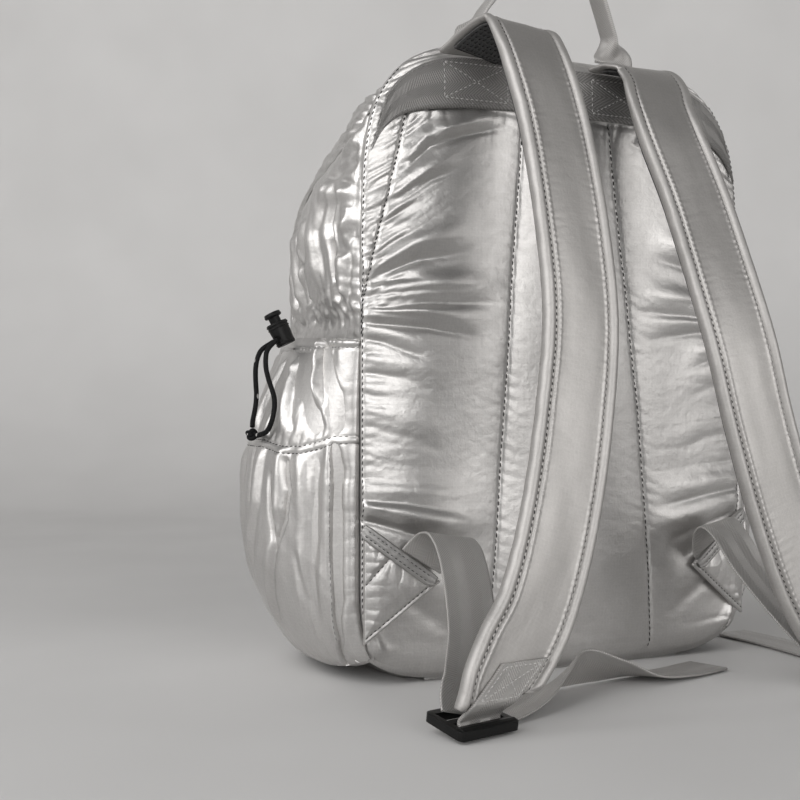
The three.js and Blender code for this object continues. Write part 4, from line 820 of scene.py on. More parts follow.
def back_panel():
    vs = even_rows(lambda v: at(SECTION_ROWS, v * LAST)[:, [BACK_HALF, BACK_Z]], 384)
    pan = Panel(back_point, dense_ends(248), vs, (0, -1, 0), (242, 336))
    x, z = pan.base[..., 0], pan.base[..., 2]
    pan.a, pan.b = x, z
    half = at(SECTION_ROWS, pan.v * LAST)[..., BACK_HALF]
    h = pan.h
    for sgn, seed in ((-1, 3), (1, 71)):
        xx = x * -sgn                       # the left side's coordinates for both halves
        d = half + xx
        mine = (xx < 4)
        w = mine * smooth((8 - xx) / 8)
        slant = -0.62 * smooth((z - 208) / 45) - 0.12 * smooth((z - 190) / 12) + 0.10 * (1 - smooth((z - 150) / 30))
        zone = 0.62 + 0.75 * np.exp(-((z - 207) / 26) ** 2) + 0.25 * np.exp(-((z - 262) / 30) ** 2)
        zone = zone * smooth((z - 10) / 12) * (1 - 0.85 * smooth((z - 22) / 3) * (1 - smooth((z - 82) / 4)))
        g = puckers(z, d, 5.4, 8.0, 1.25, seed, slant, rise=0.9) * zone
        g += puckers(z, d, 11.5, 24.0, 1.15, seed + 9, slant * 0.9, rise=2.5) * zone
        # curved topstitch and the gathers on both sides of it
        cx = np.interp(z, CURVE_Z, CURVE_X)
        c = (xx - cx) * 0.96
        band = smooth((z - 190) / 10) * (1 - smooth((z - 300) / 5))
        g += band * (-1.0 * np.exp(-(c / 0.95) ** 2) - 0.9 * np.exp(-np.abs(c) / 4.0))
        g += band * np.where(c > 0, puckers(z, c, 5.8, 11.0, 1.1, seed + 21, -0.85, rise=0.8), puckers(z, -c, 5.2, 8.0, 0.9, seed + 27, 0.75, rise=0.8))
        for pts, wd, ht, sk, fd, we in BACK_FOLDS:
            scale = 1.0 if sgn < 0 else 0.8 + 0.35 * math.sin(wd * 7 + ht * 3)
            shift = 0.0 if sgn < 0 else 3.0 * math.sin(wd * 3 + ht * 11)
            g += fold(xx, z + shift, pts, wd * 0.82, ht * scale * 1.12, sk, fd, we, 0.42)
        # crepe: short level ripples, strongest by the seam
        near = 0.35 + 0.65 * np.exp(-np.clip(d, 0, None) / 55)
        warp = 5 * noise(xx / 30, z / 30, seed + 31)
        g += near * (0.10 * noise((xx + warp) / 8.0, (z - 0.12 * xx) / 3.1, seed + 33) + 0.15 * noise(xx / 17 + 0.4 * noise(xx / 25, z / 12, seed + 36), (z - 0.1 * xx + warp * 0.9) / 6.6, seed + 35))
        g += 0.035 * noise(xx / 3.2, z / 2.3, seed + 37)
        g += 0.9 * noise(xx / 60, z / 48, seed + 41) * smooth(d / 25)
        # edge turned into the seam
        g -= 1.1 * (1 - np.clip(d / 2.6, 0, 1)) ** 2
        h += w * g
    for zs, xs in (LEFT_LINE, RIGHT_LINE):
        cx = np.interp(z, zs, xs)
        c = x - cx
        line = smooth((304 - z) / 2) * smooth((z - 2) / 3)
        h -= line * (1.15 * np.exp(-np.abs(c) / 5.5) + 0.62 * np.exp(-(c / 0.75) ** 2))
        h += line * puckers(z, np.abs(c), 6.5, 7.0, 0.34, 91 + int(abs(xs[0])), 0.4 * np.sign(c), rise=0.8)
    # padding between the channels, and the gathers under the yoke
    h += puckers(x, 303.5 - z, 9.0, 10.0, 0.9, 133, 0.15) * smooth((304 - z) / 2)
    h -= 0.8 * np.exp(-((z - 301.5) / 2.2) ** 2)
    # lower edge rolls under, gathered along the base seam
    zb = back_point(pan.u, np.zeros_like(pan.v))[..., 2]
    d = z - zb
    h += puckers(x, d, 7.5, 9.0, 0.9, 151, 0.1) * smooth((pan.v * LAST + 0.2))
    roll = (1 - np.clip(d / 13, 0, 1)) ** 2
    top = 1 - np.clip((1 - pan.v) * LAST / 1.2, 0, 1)
    extra = np.zeros(pan.base.shape)
    extra[..., 1] = 6.5 * roll + 1.6 * top ** 2
    flat = smooth((z - 304) / 3)
    h[:] = h * (1 - flat) + np.minimum(h, 0.2) * flat
    ob = pan.finish("back_panel_cloth", RIPSTOP, BACK_THICKNESS - 0.2, 8, inward=(0, 1, 0), extra=extra)
    return pan, done(ob, "ripstop", "back_panel")


SIDE_FOLDS = [
    ([(1, 247), (7, 230), (13.6, 213)], 3.6, 2.4, 0.4, 0.8, 3.0),
    ([(15, 241), (9, 222), (5, 199)], 2.8, -2.6, 0.0, 0.8, 3.0),
    ([(-38, 259), (-31, 241), (-36, 224)], 4.2, -3.2, 0.3, 0.7, 3.0),
    ([(-24, 260), (-40, 258), (-53, 255)], 4.6, 2.4, 0.5, 0.7, 3.5),
    ([(-33, 232), (-33, 209)], 2.6, -3.2, 0.0, 0.8, 2.2),
    ([(-45, 223), (-44, 203)], 4.6, 3.0, 0.0, 0.9, 4.0),
    ([(-20, 264), (-12, 240), (-17, 210)], 6.5, 2.6, 0.3, 0.8, 5.0),
    ([(-52, 247), (-47, 230)], 4.5, 2.2, 0.3, 0.8, 3.5),
    ([(26, 242), (24, 203)], 5.5, 2.4, 0.3, 0.8, 4.0),
    ([(36, 236), (33, 198)], 3.4, -2.4, 0.0, 0.8, 3.0),
    ([(44, 230), (42, 198)], 4.6, 2.2, 0.3, 0.8, 4.0),
    ([(-56, 285), (-36, 277)], 3.6, 1.8, 0.5, 0.7, 3.0),
    ([(-56, 271), (-28, 266)], 3.8, -1.8, 0.3, 0.7, 3.0),
    ([(-56, 240), (-42, 236)], 3.0, 1.6, 0.5, 0.7, 2.6),
]


def side_panel(side, seed):
    hi = CORNER_ROW - 0.02
    vs = even_rows(lambda v: at(SECTION_ROWS, v * hi)[:, [BACK_HALF, BACK_Z]], 264)
    pan = Panel(side_point, dense_ends(112, 0.03), vs, (-1, 0, 0.15), (118, 285))
    y, z = pan.base[..., 1], pan.base[..., 2]
    pan.a, pan.b = y, z
    rim = at(SECTION_ROWS, pan.v * hi)[..., RIM_Y]
    d0, d1 = y + 56.05, rim - y
    upper = smooth((z - 178) / 12)
    waist = np.exp(-((z - 197) / 9.5) ** 2)
    h = pan.h
    h += puckers(z, d0, 6.6, 10.0, 1.3, seed, -0.3, rise=0.9) * (0.5 + 0.7 * np.exp(-((z - 205) / 30) ** 2) + 0.4 * smooth((z - 240) / 20))
    h += puckers(z, d1, 7.5, 9.0, 0.9, seed + 3, 0.3, rise=0.9) * (0.4 + 0.6 * upper)
    for pts, wd, ht, sk, fd, we in SIDE_FOLDS:
        k = 1.0 if side == "left" else 0.75 + 0.4 * math.sin(wd * 9 + ht * 5)
        s = 0.0 if side == "left" else 5.0 * math.sin(wd * 5 + ht * 13)
        h += fold(y + s, z, pts, wd * 1.25, ht * k * 1.35, sk, fd, we, 0.35) * upper * np.clip(np.minimum(d0, d1) / 6, 0, 1)
    # vertical gathers rising out of the waist, and the crushed band itself
    h += puckers(y, z - 186, 9.0, 38.0, 2.2, seed + 7, 0.06 * np.sin(z / 14), rise=3.0) * upper
    h += puckers(y, np.clip(196 - z, 0, 40), 7.0, 16.0, 1.2, seed + 8, 0.1, rise=2.0) * (z < 196)
    h += waist * (6.5 * (crumple(y / 15, z / 13, seed + 13, 2) - 0.72))
    h -= 1.6 * np.exp(-((z - 190) / 6) ** 2) * smooth(np.minimum(d0, d1) / 8)
    h += upper * (2.6 * (crumple(y / 26, z / 34, seed + 15, 2) - 0.7) + 0.12 * noise(y / 6, z / 8, seed + 17))
    h += 0.05 * noise(y / 2.8, z / 3.4, seed + 19) + 0.10 * noise(y / 5.2, z / 12.0, seed + 23)
    h -= 1.5 * (1 - np.clip(d0 / 3.6, 0, 1)) ** 2 + 1.8 * (1 - np.clip(d1 / 3.6, 0, 1)) ** 2
    h *= np.clip((z - 12) / 14, 0.15, 1)
    # under the pocket nothing may stand out through it
    covered = 1 - smooth((z - 164) / 9)
    h[:] = h * (1 - covered) + np.minimum(h, -2.2) * covered
    extra = np.zeros(pan.base.shape)
    extra[..., 1] = -2.5 * (1 - smooth(pan.u / 0.03))
    ob = pan.finish(f"side_panel_cloth_{side}", RIPSTOP, WALL + 1.8, 8, extra=extra)
    if side == "right":
        flipped(ob)
    return pan, done(ob, "ripstop", f"side_panel_{side}")


POCKET_A = 124.0
POCKET_FOLDS = [
    ([(40, 108), (38.7, 90), (35.7, 71.7)], 1.7, -2.6, 0.0, 0.85, 1.3),
    ([(30, 118), (25.8, 101), (28.3, 85.4), (35.1, 71.4)], 1.7, -2.8, 0.0, 0.85, 1.3),
    ([(33, 121), (32.5, 86)], 4.6, 2.8, 0.0, 0.8, 3.4),
    ([(35.7, 72.5), (47.7, 41.2), (54, 29)], 1.5, -1.8, 0.0, 0.8, 1.5),
    ([(39, 72), (52, 42), (60, 26)], 4.0, 1.5, 0.3, 0.8, 5.0),
    ([(21.9, 68), (19.2, 44.2), (24.8, 20)], 2.0, -1.3, 0.5, 0.8, 2.5),
    ([(20.2, 117), (17.7, 86), (22.9, 22)], 3.0, 1.3, 0.4, 0.8, 4.0),
    ([(10.5, 118), (11.5, 80), (15.5, 30)], 2.2, -1.2, 0.4, 0.8, 2.5),
    ([(6.8, 119), (7.0, 74), (10, 34)], 1.6, 0.9, 0.3, 0.8, 2.0),
    ([(51.5, 121), (54, 94), (72, 58)], 3.2, 2.0, 0.5, 0.8, 5.0),
    ([(62, 120), (66, 92), (82, 56)], 3.0, -2.2, 0.3, 0.8, 4.0),
    ([(86, 120), (90, 84), (98, 40)], 5.0, 2.2, 0.4, 0.8, 6.0),
    ([(104, 118), (106, 70), (106, 34)], 3.0, -2.0, 0.0, 0.8, 3.0),
    ([(39, 171), (22, 150), (12, 133)], 5.6, -3.0, 0.5, 0.85, 4.0),
    ([(24, 179), (7, 151), (3, 130)], 4.6, -2.8, -0.6, 0.85, 3.4),
    ([(28, 181), (20.8, 163), (15, 146)], 2.4, 3.0, 0.4, 0.8, 3.0),
    ([(50, 172), (41, 150), (32, 131)], 3.4, 2.6, 0.5, 0.8, 4.0),
    ([(60, 173), (52, 150), (48, 130)], 3.0, -2.4, 0.0, 0.8, 3.0),
    ([(74, 174), (70, 152), (70, 130)], 4.2, 2.4, 0.4, 0.8, 4.0),
    ([(88, 176), (86, 150), (88, 130)], 3.2, -2.4, 0.0, 0.8, 3.0),
    ([(104, 178), (102, 152), (104, 130)], 4.0, 2.0, 0.4, 0.8, 4.0),
    ([(2.5, 106), (1.0, 92)], 2.4, 1.6, 0.4, 0.8, 3.0),
]
POCKET_SEAM = (np.array([0, 4.6, 10.5, 20.8, 34.5, 53.6, 86, 124]), np.array([127.4, 127.3, 124.7, 122.0, 122.2, 125.4, 125.0, 126.0]))
PLEAT = (np.array([9, 24.5, 45, 112, 127, 182]), np.array([14, 6.2, 3.7, 3.3, 4.7, 5.0]))


def side_pocket(side, seed):
    rows = lambda v: np.stack([v * 0, pocket_point(np.full_like(v, 0.3), v)[:, 2]], -1)
    vs = even_rows(rows, 232)
    pan = Panel(pocket_point, dense_ends(152, 0.06), vs, (-1, 0, 0.1), (POCKET_A, 168))
    z = pan.base[..., 2]
    a = pan.u * POCKET_A
    pan.a, pan.b = a, z
    top = pan.base[-1:, :, 2]
    down = top - z
    d0, d1 = a, POCKET_A - a
    edge = np.clip(np.minimum(d0, d1) / 5, 0, 1)
    h = pan.h
    for pts, wd, ht, sk, fd, we in POCKET_FOLDS:
        k = 1.0 if side == "left" else 0.75 + 0.4 * math.sin(wd * 9 + ht * 5)
        s = 0.0 if side == "left" else 5.0 * math.sin(wd * 5 + ht * 13)
        h += fold(a + s, z, pts, wd * 1.05, ht * k * 1.2, sk, fd, we, 0.25) * edge
    # gathers below the drawn hem
    stitch = 4.6
    below = np.clip(down - stitch, 0, None)
    h += edge * puckers(a, below, 12.5, 34.0, 1.7, seed, 0.05 * np.sin(z / 11), rise=1.6) * (down > stitch)
    h += edge * puckers(a, below, 4.6, 7.0, 0.8, seed + 3, 0.1, rise=0.7) * (down > stitch)
    h += edge * puckers(a, np.clip(stitch - down, 0, None), 4.6, 30.0, 0.9, seed + 3, 0.0, rise=0.7) * (down <= stitch)
    h += 1.3 * np.sin(np.pi * np.clip(down / stitch, 0, 1)) * (down <= stitch)
    h -= 0.75 * np.exp(-((down - stitch) / 0.75) ** 2)
    h -= 1.4 * (1 - np.clip(down / 1.6, 0, 1)) ** 2
    # double stitched seam across the pocket
    zs = np.interp(a, *POCKET_SEAM)
    c = z - zs
    band = (1 - 0.9 * np.exp(-((a - np.interp(z, *PLEAT)) / 2.0) ** 2))
    h += band * (0.55 * np.exp(-(c / 1.5) ** 4) - 0.5 * np.exp(-((c - 1.9) / 0.55) ** 2) - 0.5 * np.exp(-((c + 1.9) / 0.55) ** 2))
    h += band * np.where(c > 0, puckers(a, c - 2, 6.0, 9.0, 0.85, seed + 11, 0.2, rise=0.8), puckers(a, -c - 2, 6.6, 10.0, 0.85, seed + 12, -0.2, rise=0.8)) * (np.abs(c) > 2) * edge
    h -= 0.7 * np.exp(-np.abs(c) / 6) * edge
    # deep pleat beside the back seam
    p = a - np.interp(z, *PLEAT)
    low = 1 - smooth((z - 122) / 5)
    h += low * (-5.2 * np.exp(-(p / 0.95) ** 2) + 1.1 * np.exp(-((p - 2.4) / 1.4) ** 2) + 0.5 * np.exp(-((p + 2.2) / 1.0) ** 2))
    h += puckers(z, d0, 9.5, 4.0, 0.3, seed + 15, 0.5, rise=0.8)
    h += puckers(z, d1, 7.4, 9.0, 1.1, seed + 17, 0.25, rise=0.8)
    h += puckers(a, z - 8, 7.0, 10.0, 1.0, seed + 19, 0.12, rise=1.2)
    h += 1.3 * (crumple(a / 26, z / 46, seed + 21, 2) - 0.7) * edge
    h += 0.07 * noise(a / 2.9, z / 4.6, seed + 23) + 0.20 * noise(a / 5.2, z / 26, seed + 25) * edge
    h -= 1.5 * (1 - np.clip(d0 / 3.0, 0, 1)) ** 2 + 1.5 * (1 - np.clip(d1 / 3.0, 0, 1)) ** 2
    h -= 1.0 * (1 - np.clip((z - pan.base[:1, :, 2]) / 5, 0, 1)) ** 2
    h[:] = np.clip(h, -4.6, 5.0)
    # its edge meets the back seam, and the hem dips away from it
    extra = np.zeros(pan.base.shape)
    close = (1 - smooth(pan.u / 0.036))
    extra[..., 0] = 3.1 * close
    extra[..., 1] = -2.7 * close
    extra[..., 2] = -4.6 * smooth((a - 24) / 7) * (1 - smooth((a - 106) / 12)) * np.exp(-(down / 34) ** 2)
    ob = pan.finish(f"side_pocket_cloth_{side}", RIPSTOP, POCKET_WALL, 8, inward=(1, 0, 0), extra=extra)
    if side == "right":
        flipped(ob)
    return pan, done(ob, "ripstop", f"side_pocket_{side}")


FRONT_FOLDS = [
    ([(40, 292), (100, 268), (150, 262)], 9.0, -4.0, 0.3, 0.8, 12.0),
    ([(262, 292), (205, 270), (150, 264)], 9.0, -4.0, 0.3, 0.8, 12.0),
    ([(60, 270), (150, 245), (230, 262)], 10.0, 3.0, 0.4, 0.8, 10.0),
    ([(50, 200), (130, 150), (210, 138)], 11.0, -3.0, 0.4, 0.8, 11.0),
    ([(262, 180), (190, 120), (110, 100)], 11.0, 2.6, 0.4, 0.8, 11.0),
    ([(70, 110), (150, 78), (240, 88)], 11.0, -2.6, 0.3, 0.8, 11.0),
    ([(20, 250), (60, 232), (110, 228)], 6.0, 2.4, 0.5, 0.7, 7.0),
    ([(280, 246), (236, 228), (196, 226)], 6.0, 2.4, 0.5, 0.7, 7.0),
    ([(30, 60), (90, 40)], 8.0, 2.2, 0.4, 0.7, 8.0),
]


def front_panel():
    mid = even_rows(lambda v: at(SECTION_ROWS, v * LAST)[:, [FRONT_Y, FRONT_Z]], 236)
    edge = even_rows(lambda v: at(SECTION_ROWS, v * LAST)[:, [RIM_HALF, RIM_Z]], 236)
    us = dense_ends(216, 0.02)
    pan = Panel(front_point, us, (mid + edge) / 2, lambda p: (p - (0, 0, 150)) * (1, 1.2, 0.6), (300, 340))
    a, b = pan.u * 300, pan.b
    pan.a = a
    x, y, z = (pan.base[..., k] for k in range(3))
    d0 = np.minimum(a, 300 - a)
    left = a < 150
    edge = np.clip(d0 / 6, 0, 1) * np.clip((1 - pan.v) * 30, 0, 1)
    top = smooth((z - 262) / 26)
    h = pan.h
    for pts, wd, ht, sk, fd, we in FRONT_FOLDS:
        h += fold(a, b, pts, wd, ht, sk, fd, we) * edge
    h += np.where(left, puckers(b, d0, 8.5, 22.0, 2.0, 301, -0.35, rise=1.2), puckers(b, d0, 8.5, 22.0, 2.0, 311, 0.3, rise=1.2)) * (0.5 + 0.8 * smooth((b - 180) / 40))
    away = (1 - pan.v) * LAST / 1.2 * 14
    h += puckers(a, away, 9.0, 20.0, 1.6, 321, 0.1, rise=1.2) * smooth((pan.v * LAST - 9.0) / 1.5)
    h += top * edge * (4.2 * (crumple(a / 26, b / 20, 331) - 0.7))
    h += edge * (1.8 * (crumple(a / 44, b / 40, 335, 2) - 0.7) + 1.6 * noise(a / 55, b / 42, 337))
    h += 0.14 * noise(a / 3.4, b / 4.2, 341) + 0.3 * noise(a / 7, b / 9, 343)
    h += puckers(a, z - 12, 8.0, 14.0, 1.3, 345, 0.1, rise=1.2) * smooth(1.5 - pan.v * 6)
    h -= 1.8 * (1 - np.clip(d0 / 4, 0, 1)) ** 2
    h -= 1.2 * (1 - np.clip(away / 4, 0, 1)) ** 2 * smooth((pan.v * LAST - 9.0) / 1.5)
    ob = pan.finish("front_panel_cloth", RIPSTOP, WALL + 1.5, 8)
    return pan, done(ob, "ripstop", "front_panel")


def top_gusset():
    low = CORNER_ROW + 0.03
    us = np.linspace(0, 1, 353)
    vs = np.linspace(0, 1, 17)
    pan = Panel(lambda u, v: top_point(2 * u - 1, low, v * 0.86), us, vs, lambda p: np.stack([p[..., 0] * 0.4, p[..., 0] * 0, p[..., 2] - 200], -1), (330, 12))
    d0, d1 = pan.v * 12, (1 - pan.v) * 12
    pan.h += puckers(pan.a, d0, 9.0, 8.0, 0.45, 401, 0.1) + puckers(pan.a, d1, 8.0, 8.0, 0.5, 403, 0.1) + 0.25 * noise(pan.a / 14, pan.v * 2, 405)
    pan.h -= 0.9 * (1 - np.clip(d0 / 2.2, 0, 1)) ** 2 + 0.9 * (1 - np.clip(d1 / 2.2, 0, 1)) ** 2
    # The gusset takes the darker-toned ripstop: painted shade.
    ob = pan.finish("top_gusset_cloth", RIPSTOP_PAINTED_SHADE, WALL, 8)
    return pan, done(ob, "ripstop", "top_gusset")


def base_panel():
    half_x, back_y = SECTION_ROWS[0, BACK_HALF] - WALL - 1.8, BACK_SEAM_Y + BACK_THICKNESS + 0.9
    front_y = SECTION_ROWS[0, FRONT_Y] - WALL - 2.2
    mid_y, half_y = (back_y + front_y) / 2, (front_y - back_y) / 2

    def point(u, v):
        p, q = 2 * u - 1, 2 * v - 1
        x = half_x * p * (1 - 0.13 * q**4 * p**2)
        y = mid_y + half_y * q * (1 - 0.13 * p**4)
        edge = np.maximum(np.maximum(np.abs(p), q), np.where(np.abs(p) > 0.8, -q, 0))
        return np.stack([x, y, BASE_RISE * smooth((edge - 0.84) / 0.16)], -1)

    pan = Panel(point, np.linspace(0, 1, 121), np.linspace(0, 1, 81), (0, 0, -1), (224, 114))
    rise = pan.base[..., 2]
    ripple = 0.25 * noise(pan.a / 16, pan.b / 16, 501) + 0.12 * noise(pan.a / 5, pan.b / 5, 503)
    pan.h -= np.abs(ripple) * 0.6
    pan.h += smooth(rise / 3) * 0.5 * np.abs(np.sin(pan.a / 3.1 + pan.b / 2.7))
    # The base takes the darker-toned ripstop: painted shade on its underside.
    ob = pan.finish("base_panel_cloth", RIPSTOP_PAINTED_SHADE, 2.2, 8, inward=(0, 0, 1))
    return done(ob, "ripstop", "base_panel")


back_pan, back_ob = back_panel()
side_pans, pocket_pans = {}, {}
for side, seed in (("left", 200), ("right", 240)):
    side_pans[side], _ = side_panel(side, seed)
    pocket_pans[side], _ = side_pocket(side, seed + 13)
front_pan, _ = front_panel()
gusset_pan, _ = top_gusset()
base_panel()


# ------------------------------------------------------------------ straps
def half_to_ring(half):
    """A closed profile, started at the middle of the underside, from its right half (top to bottom)."""
    right = np.array(half, float)
    left = right[::-1][:-1] * (-1, 1)
    return np.concatenate([left, right[:-1]])


# half of the strap's section: part of the half width, millimetres added to it, height
STRAP_HALF = np.array(
    [(f, -9.6 * f, z) for f, z in ((0.0, 3.15), (0.26, 3.14), (0.52, 3.06), (0.78, 2.95))]
    + [(1, -c, z) for c, z in ((9.6, 2.85), (8.9, 2.85), (8.2, 3.0), (7.5, 3.05), (6.9, 2.75), (6.45, 2.05), (6.05, 1.5), (5.6, 1.75), (5.15, 2.5), (4.6, 3.2),
                               (3.8, 3.72), (2.8, 3.85), (1.9, 3.6), (1.1, 3.0), (0.45, 2.0), (0.08, 0.7), (0.05, -0.8), (0.6, -2.2), (1.6, -3.2), (3.0, -3.7), (4.5, -3.6))]
    + [(f, 0.0, -3.4) for f in (0.57, 0.29, 0.0)], float)
STRAP_RING = np.concatenate([STRAP_HALF[::-1][:-1] * (-1, -1, 1), STRAP_HALF[:-1]])
CUT_UP, CUT_HEIGHT = np.array((-0.12, 0.0, 1.0)), 28.0


def over_cut(p, above=0.0):
    """Height of points over the slanting plane that ends a strap, in left-hand coordinates."""
    return p @ CUT_UP - CUT_HEIGHT - above


def frame_reader(row, w, n, s):
    def read(arc):
        c, ww, nn = (np.stack([np.interp(arc, s, g[:, k]) for k in range(3)], -1) for g in (row[:, :3], w, n))
        return c, ww, nn, np.interp(arc, s, row[:, 3]) / 2
    return read


def cut_arc(read, s, place):
    """Arc length at which a line of the strap meets the cut."""
    arc = np.linspace(s[-1] * 0.8, s[-1], 400)
    f = over_cut(place(*read(arc)))
    i = int(np.argmax(f <= 0)) if (f <= 0).any() else len(arc) - 1
    return arc[i - 1] + (arc[i] - arc[i - 1]) * f[i - 1] / (f[i - 1] - f[i])


ROOT_Y = -67.0


def root_arc(read, place):
    """Arc length at which a line of the strap leaves the plane of its sewn root."""
    arc = np.linspace(0, 30, 240)
    y = place(*read(arc))[:, 1]
    i = max(1, int(np.argmax(y <= ROOT_Y)))
    return arc[i - 1] + (arc[i] - arc[i - 1]) * (y[i - 1] - ROOT_Y) / (y[i - 1] - y[i])


def slim(arc):
    """Thickness along a strap: sewn flat at the root, full from the shoulder on."""
    return 0.42 + 0.58 * smooth((np.asarray(arc, float) - 22) / 62)


def strap_cloth(name, table, seed):
    row, d, w, n, s = even(table, 900, yaw_tip(4))
    read = frame_reader(row, w, n, s)
    k1, k0, z0 = STRAP_RING.T
    ends = np.array([cut_arc(read, s, lambda c, ww, nn, h, a=a, b=b, z=z: c + ww * (a * h + b)[:, None] + nn * z) for a, b, z in STRAP_RING])
    roots = np.array([root_arc(read, lambda c, ww, nn, h, a=a, b=b, z=z: c + ww * (a * h + b)[:, None] + nn * z * slim(8.0)) for a, b, z in STRAP_RING])
    whole, first = ends.mean(), roots.mean()
    start, after = ends.min() - 34, roots.max() + 22
    grid = np.linspace(first, whole, 450)[:, None]
    arc = np.where(grid < start, grid, start + (grid - start) * (ends - start) / (whole - start))
    arc = np.where(grid > after, arc, roots + (grid - first) * (after - roots) / (after - first))
    c, ww, nn, h = read(arc)
    a = k1 * h + k0
    out = np.abs(a)
    sgn = np.sign(a)
    top = np.broadcast_to(z0 > 0, a.shape)
    face = top * smooth((h - 6.6 - out) / 1.4)
    ridge = np.exp(-((h - 7.6 - out) / 0.8) ** 2) * top
    roll = np.exp(-((h - 3.0 - out) / 2.2) ** 2) * top
    z = np.broadcast_to(z0, a.shape).copy()
    z += face * (0.36 * noise(a / 12, arc / 52, seed) + 0.13 * noise(a / 3.6, arc / 34, seed + 2) + 0.05 * noise(a / 2.2, arc / 4.2, seed + 4))
    z += face * 0.5 * puckers(arc, h - 6.6 - out, 4.2, 3.4, 0.5, seed + 20, 0.2, rise=0.6)
    z += ridge * (0.42 * (crumple(arc / 1.7, a / 1.6, seed + 8, 2) - 0.62) + 0.20 * np.sin(2 * np.pi * arc / 2.9))
    z += roll * (0.16 * noise(arc / 9, sgn * 5, seed + 10) + 0.05 * noise(arc / 2.6, a / 2, seed + 12))
    a = a + sgn * np.exp(-((h - out) / 0.8) ** 2) * 0.3 * noise(arc / 10, sgn * 7, seed + 14)
    left = ends - arc
    z *= slim(arc) * (0.52 + 0.48 * smooth(left / 3.4))
    p = c + ww * a[..., None] + nn * z[..., None]
    verts, quads, tris = tube(p)
    ring_uv = ring_lengths(p)
    uv = np.stack([ring_uv, arc], -1).reshape(-1, 2) * 0.1
    uv = np.concatenate([uv, uv[:1], uv[-1:]])
    # The strap takes the darker-toned ripstop copies: painted shade on its face and rolled edges.
    ob = mesh_object(name, verts, quads, tris, RIPSTOP_STRAP_SHADED, uv)
    ob.data.materials.append(RIPSTOP_EDGE_SHADED)
    col = (np.abs(STRAP_RING[:, 0]) == 1) & (np.abs(STRAP_RING[:, 1]) < 6.3)
    edge = np.zeros(len(ob.data.polygons), np.int32)
    per = np.tile(col & np.roll(col, -1), len(grid) - 1)
    edge[:len(per)] = per
    ob.data.polygons.foreach_set("material_index", edge)
    return ob, (read, s, cut_arc(read, s, lambda c, ww, nn, h: c))


def ring_lengths(p):
    seg = np.linalg.norm(np.diff(p, axis=1), axis=-1)
    return np.concatenate([np.zeros((len(p), 1)), np.cumsum(seg, axis=1)], 1)


def strap_line(strap, offset, lift, s0=4.0):
    """Points and normals along a strap's face, a given way in from its edge."""
    read, s, end = strap
    arc = np.linspace(s0, s[-1], 1200)
    c, w, n, h = read(arc)
    p = c + w * ((h - abs(offset)) * np.sign(offset))[:, None] + n * (lift * slim(arc))[:, None]
    keep = (over_cut(p) > 1.2) & (p[:, 1] < ROOT_Y - 1)
    return p[keep], n[keep]


def spacer_plate(name, strap):
    """Black spacer mesh under a strap: a plate with rows of real holes on a closed backing."""
    read, s, end = strap
    pitch_s, pitch_a, half = 3.3, 2.75, 16.5
    s0 = s[-1] / 40 + 0.6
    s1 = cut_arc(read, s, lambda c, ww, nn, h: c - CUT_UP * 9.0) - 4.0
    rows_n, cols_n = int((s1 - s0) / pitch_s), 12
    verts, quads, tris = [], [], []
    outer, inner = -6.75, -5.3
    gs = s0 + np.arange(rows_n + 1) * pitch_s
    ga = (np.arange(cols_n + 1) - cols_n / 2) * pitch_a
    c, ww, nn, _ = read(gs)
    corners = c[:, None] + ww[:, None] * ga[None, :, None] + (nn * slim(gs)[:, None])[:, None] * outer
    base = (rows_n + 1) * (cols_n + 1)
    verts.append(corners.reshape(-1, 3))
    idx = np.arange(base).reshape(rows_n + 1, cols_n + 1)
    ang = np.radians(np.array([225, 270, 315, 0, 45, 90, 135, 180]))
    for i in range(rows_n):
        sc = gs[i] + pitch_s / 2
        ac = ga[:-1] + pitch_a / 2
        for j in range(cols_n):
            da = np.cos(ang) * pitch_a * 0.38
            ds = np.sin(ang) * pitch_s * 0.38 + (0.2 if j % 2 else -0.2)
            cc, cw, cn, _ = read(sc + ds)
            thin = cn * slim(sc + ds)[:, None]
            up = cc + cw * (ac[j] + da)[:, None] + thin * outer
            low = cc + cw * (ac[j] + da * 0.86)[:, None] + thin * inner
            b = base
            verts.append(up)
            verts.append(low)
            base += 16
            k00, k01, k11, k10 = idx[i, j], idx[i, j + 1], idx[i + 1, j + 1], idx[i + 1, j]
            tris += [(k00, k01, b + 1), (k00, b + 1, b), (k01, b + 2, b + 1), (k01, k11, b + 3), (k01, b + 3, b + 2), (k11, b + 4, b + 3),
                     (k11, k10, b + 5), (k11, b + 5, b + 4), (k10, b + 6, b + 5), (k10, k00, b + 7), (k10, b + 7, b + 6), (k00, b, b + 7)]
            for m in range(8):
                m2 = (m + 1) % 8
                quads.append((b + m, b + m2, b + 8 + m2, b + 8 + m))
    # closed backing with a bound edge
    stations = np.linspace(s0 - 1.0, gs[-1] + 1.0, 100)
    cc, cw, cn, _ = read(stations)
    cn = cn * slim(stations)[:, None]
    ring = np.array([(-half, -4.95), (-half - 0.9, -5.5), (-half - 0.7, -6.6), (-half + 0.3, -6.9), (-half + 1.0, -6.6), (-half + 1.1, -5.2), (half - 1.1, -5.2),
                     (half - 1.0, -6.6), (half - 0.3, -6.9), (half + 0.7, -6.6), (half + 0.9, -5.5), (half, -4.95)])
    v2, q2, t2, _ = sweep(cc, cw, cn, np.broadcast_to(ring, (100, 12, 2)))
    quads = np.concatenate([np.array(quads), q2 + base])
    tris = np.concatenate([np.array(tris), t2 + base])
    verts.append(v2)
    return mesh_object(name, np.concatenate(verts), quads, tris, SPACER, recalc=False)


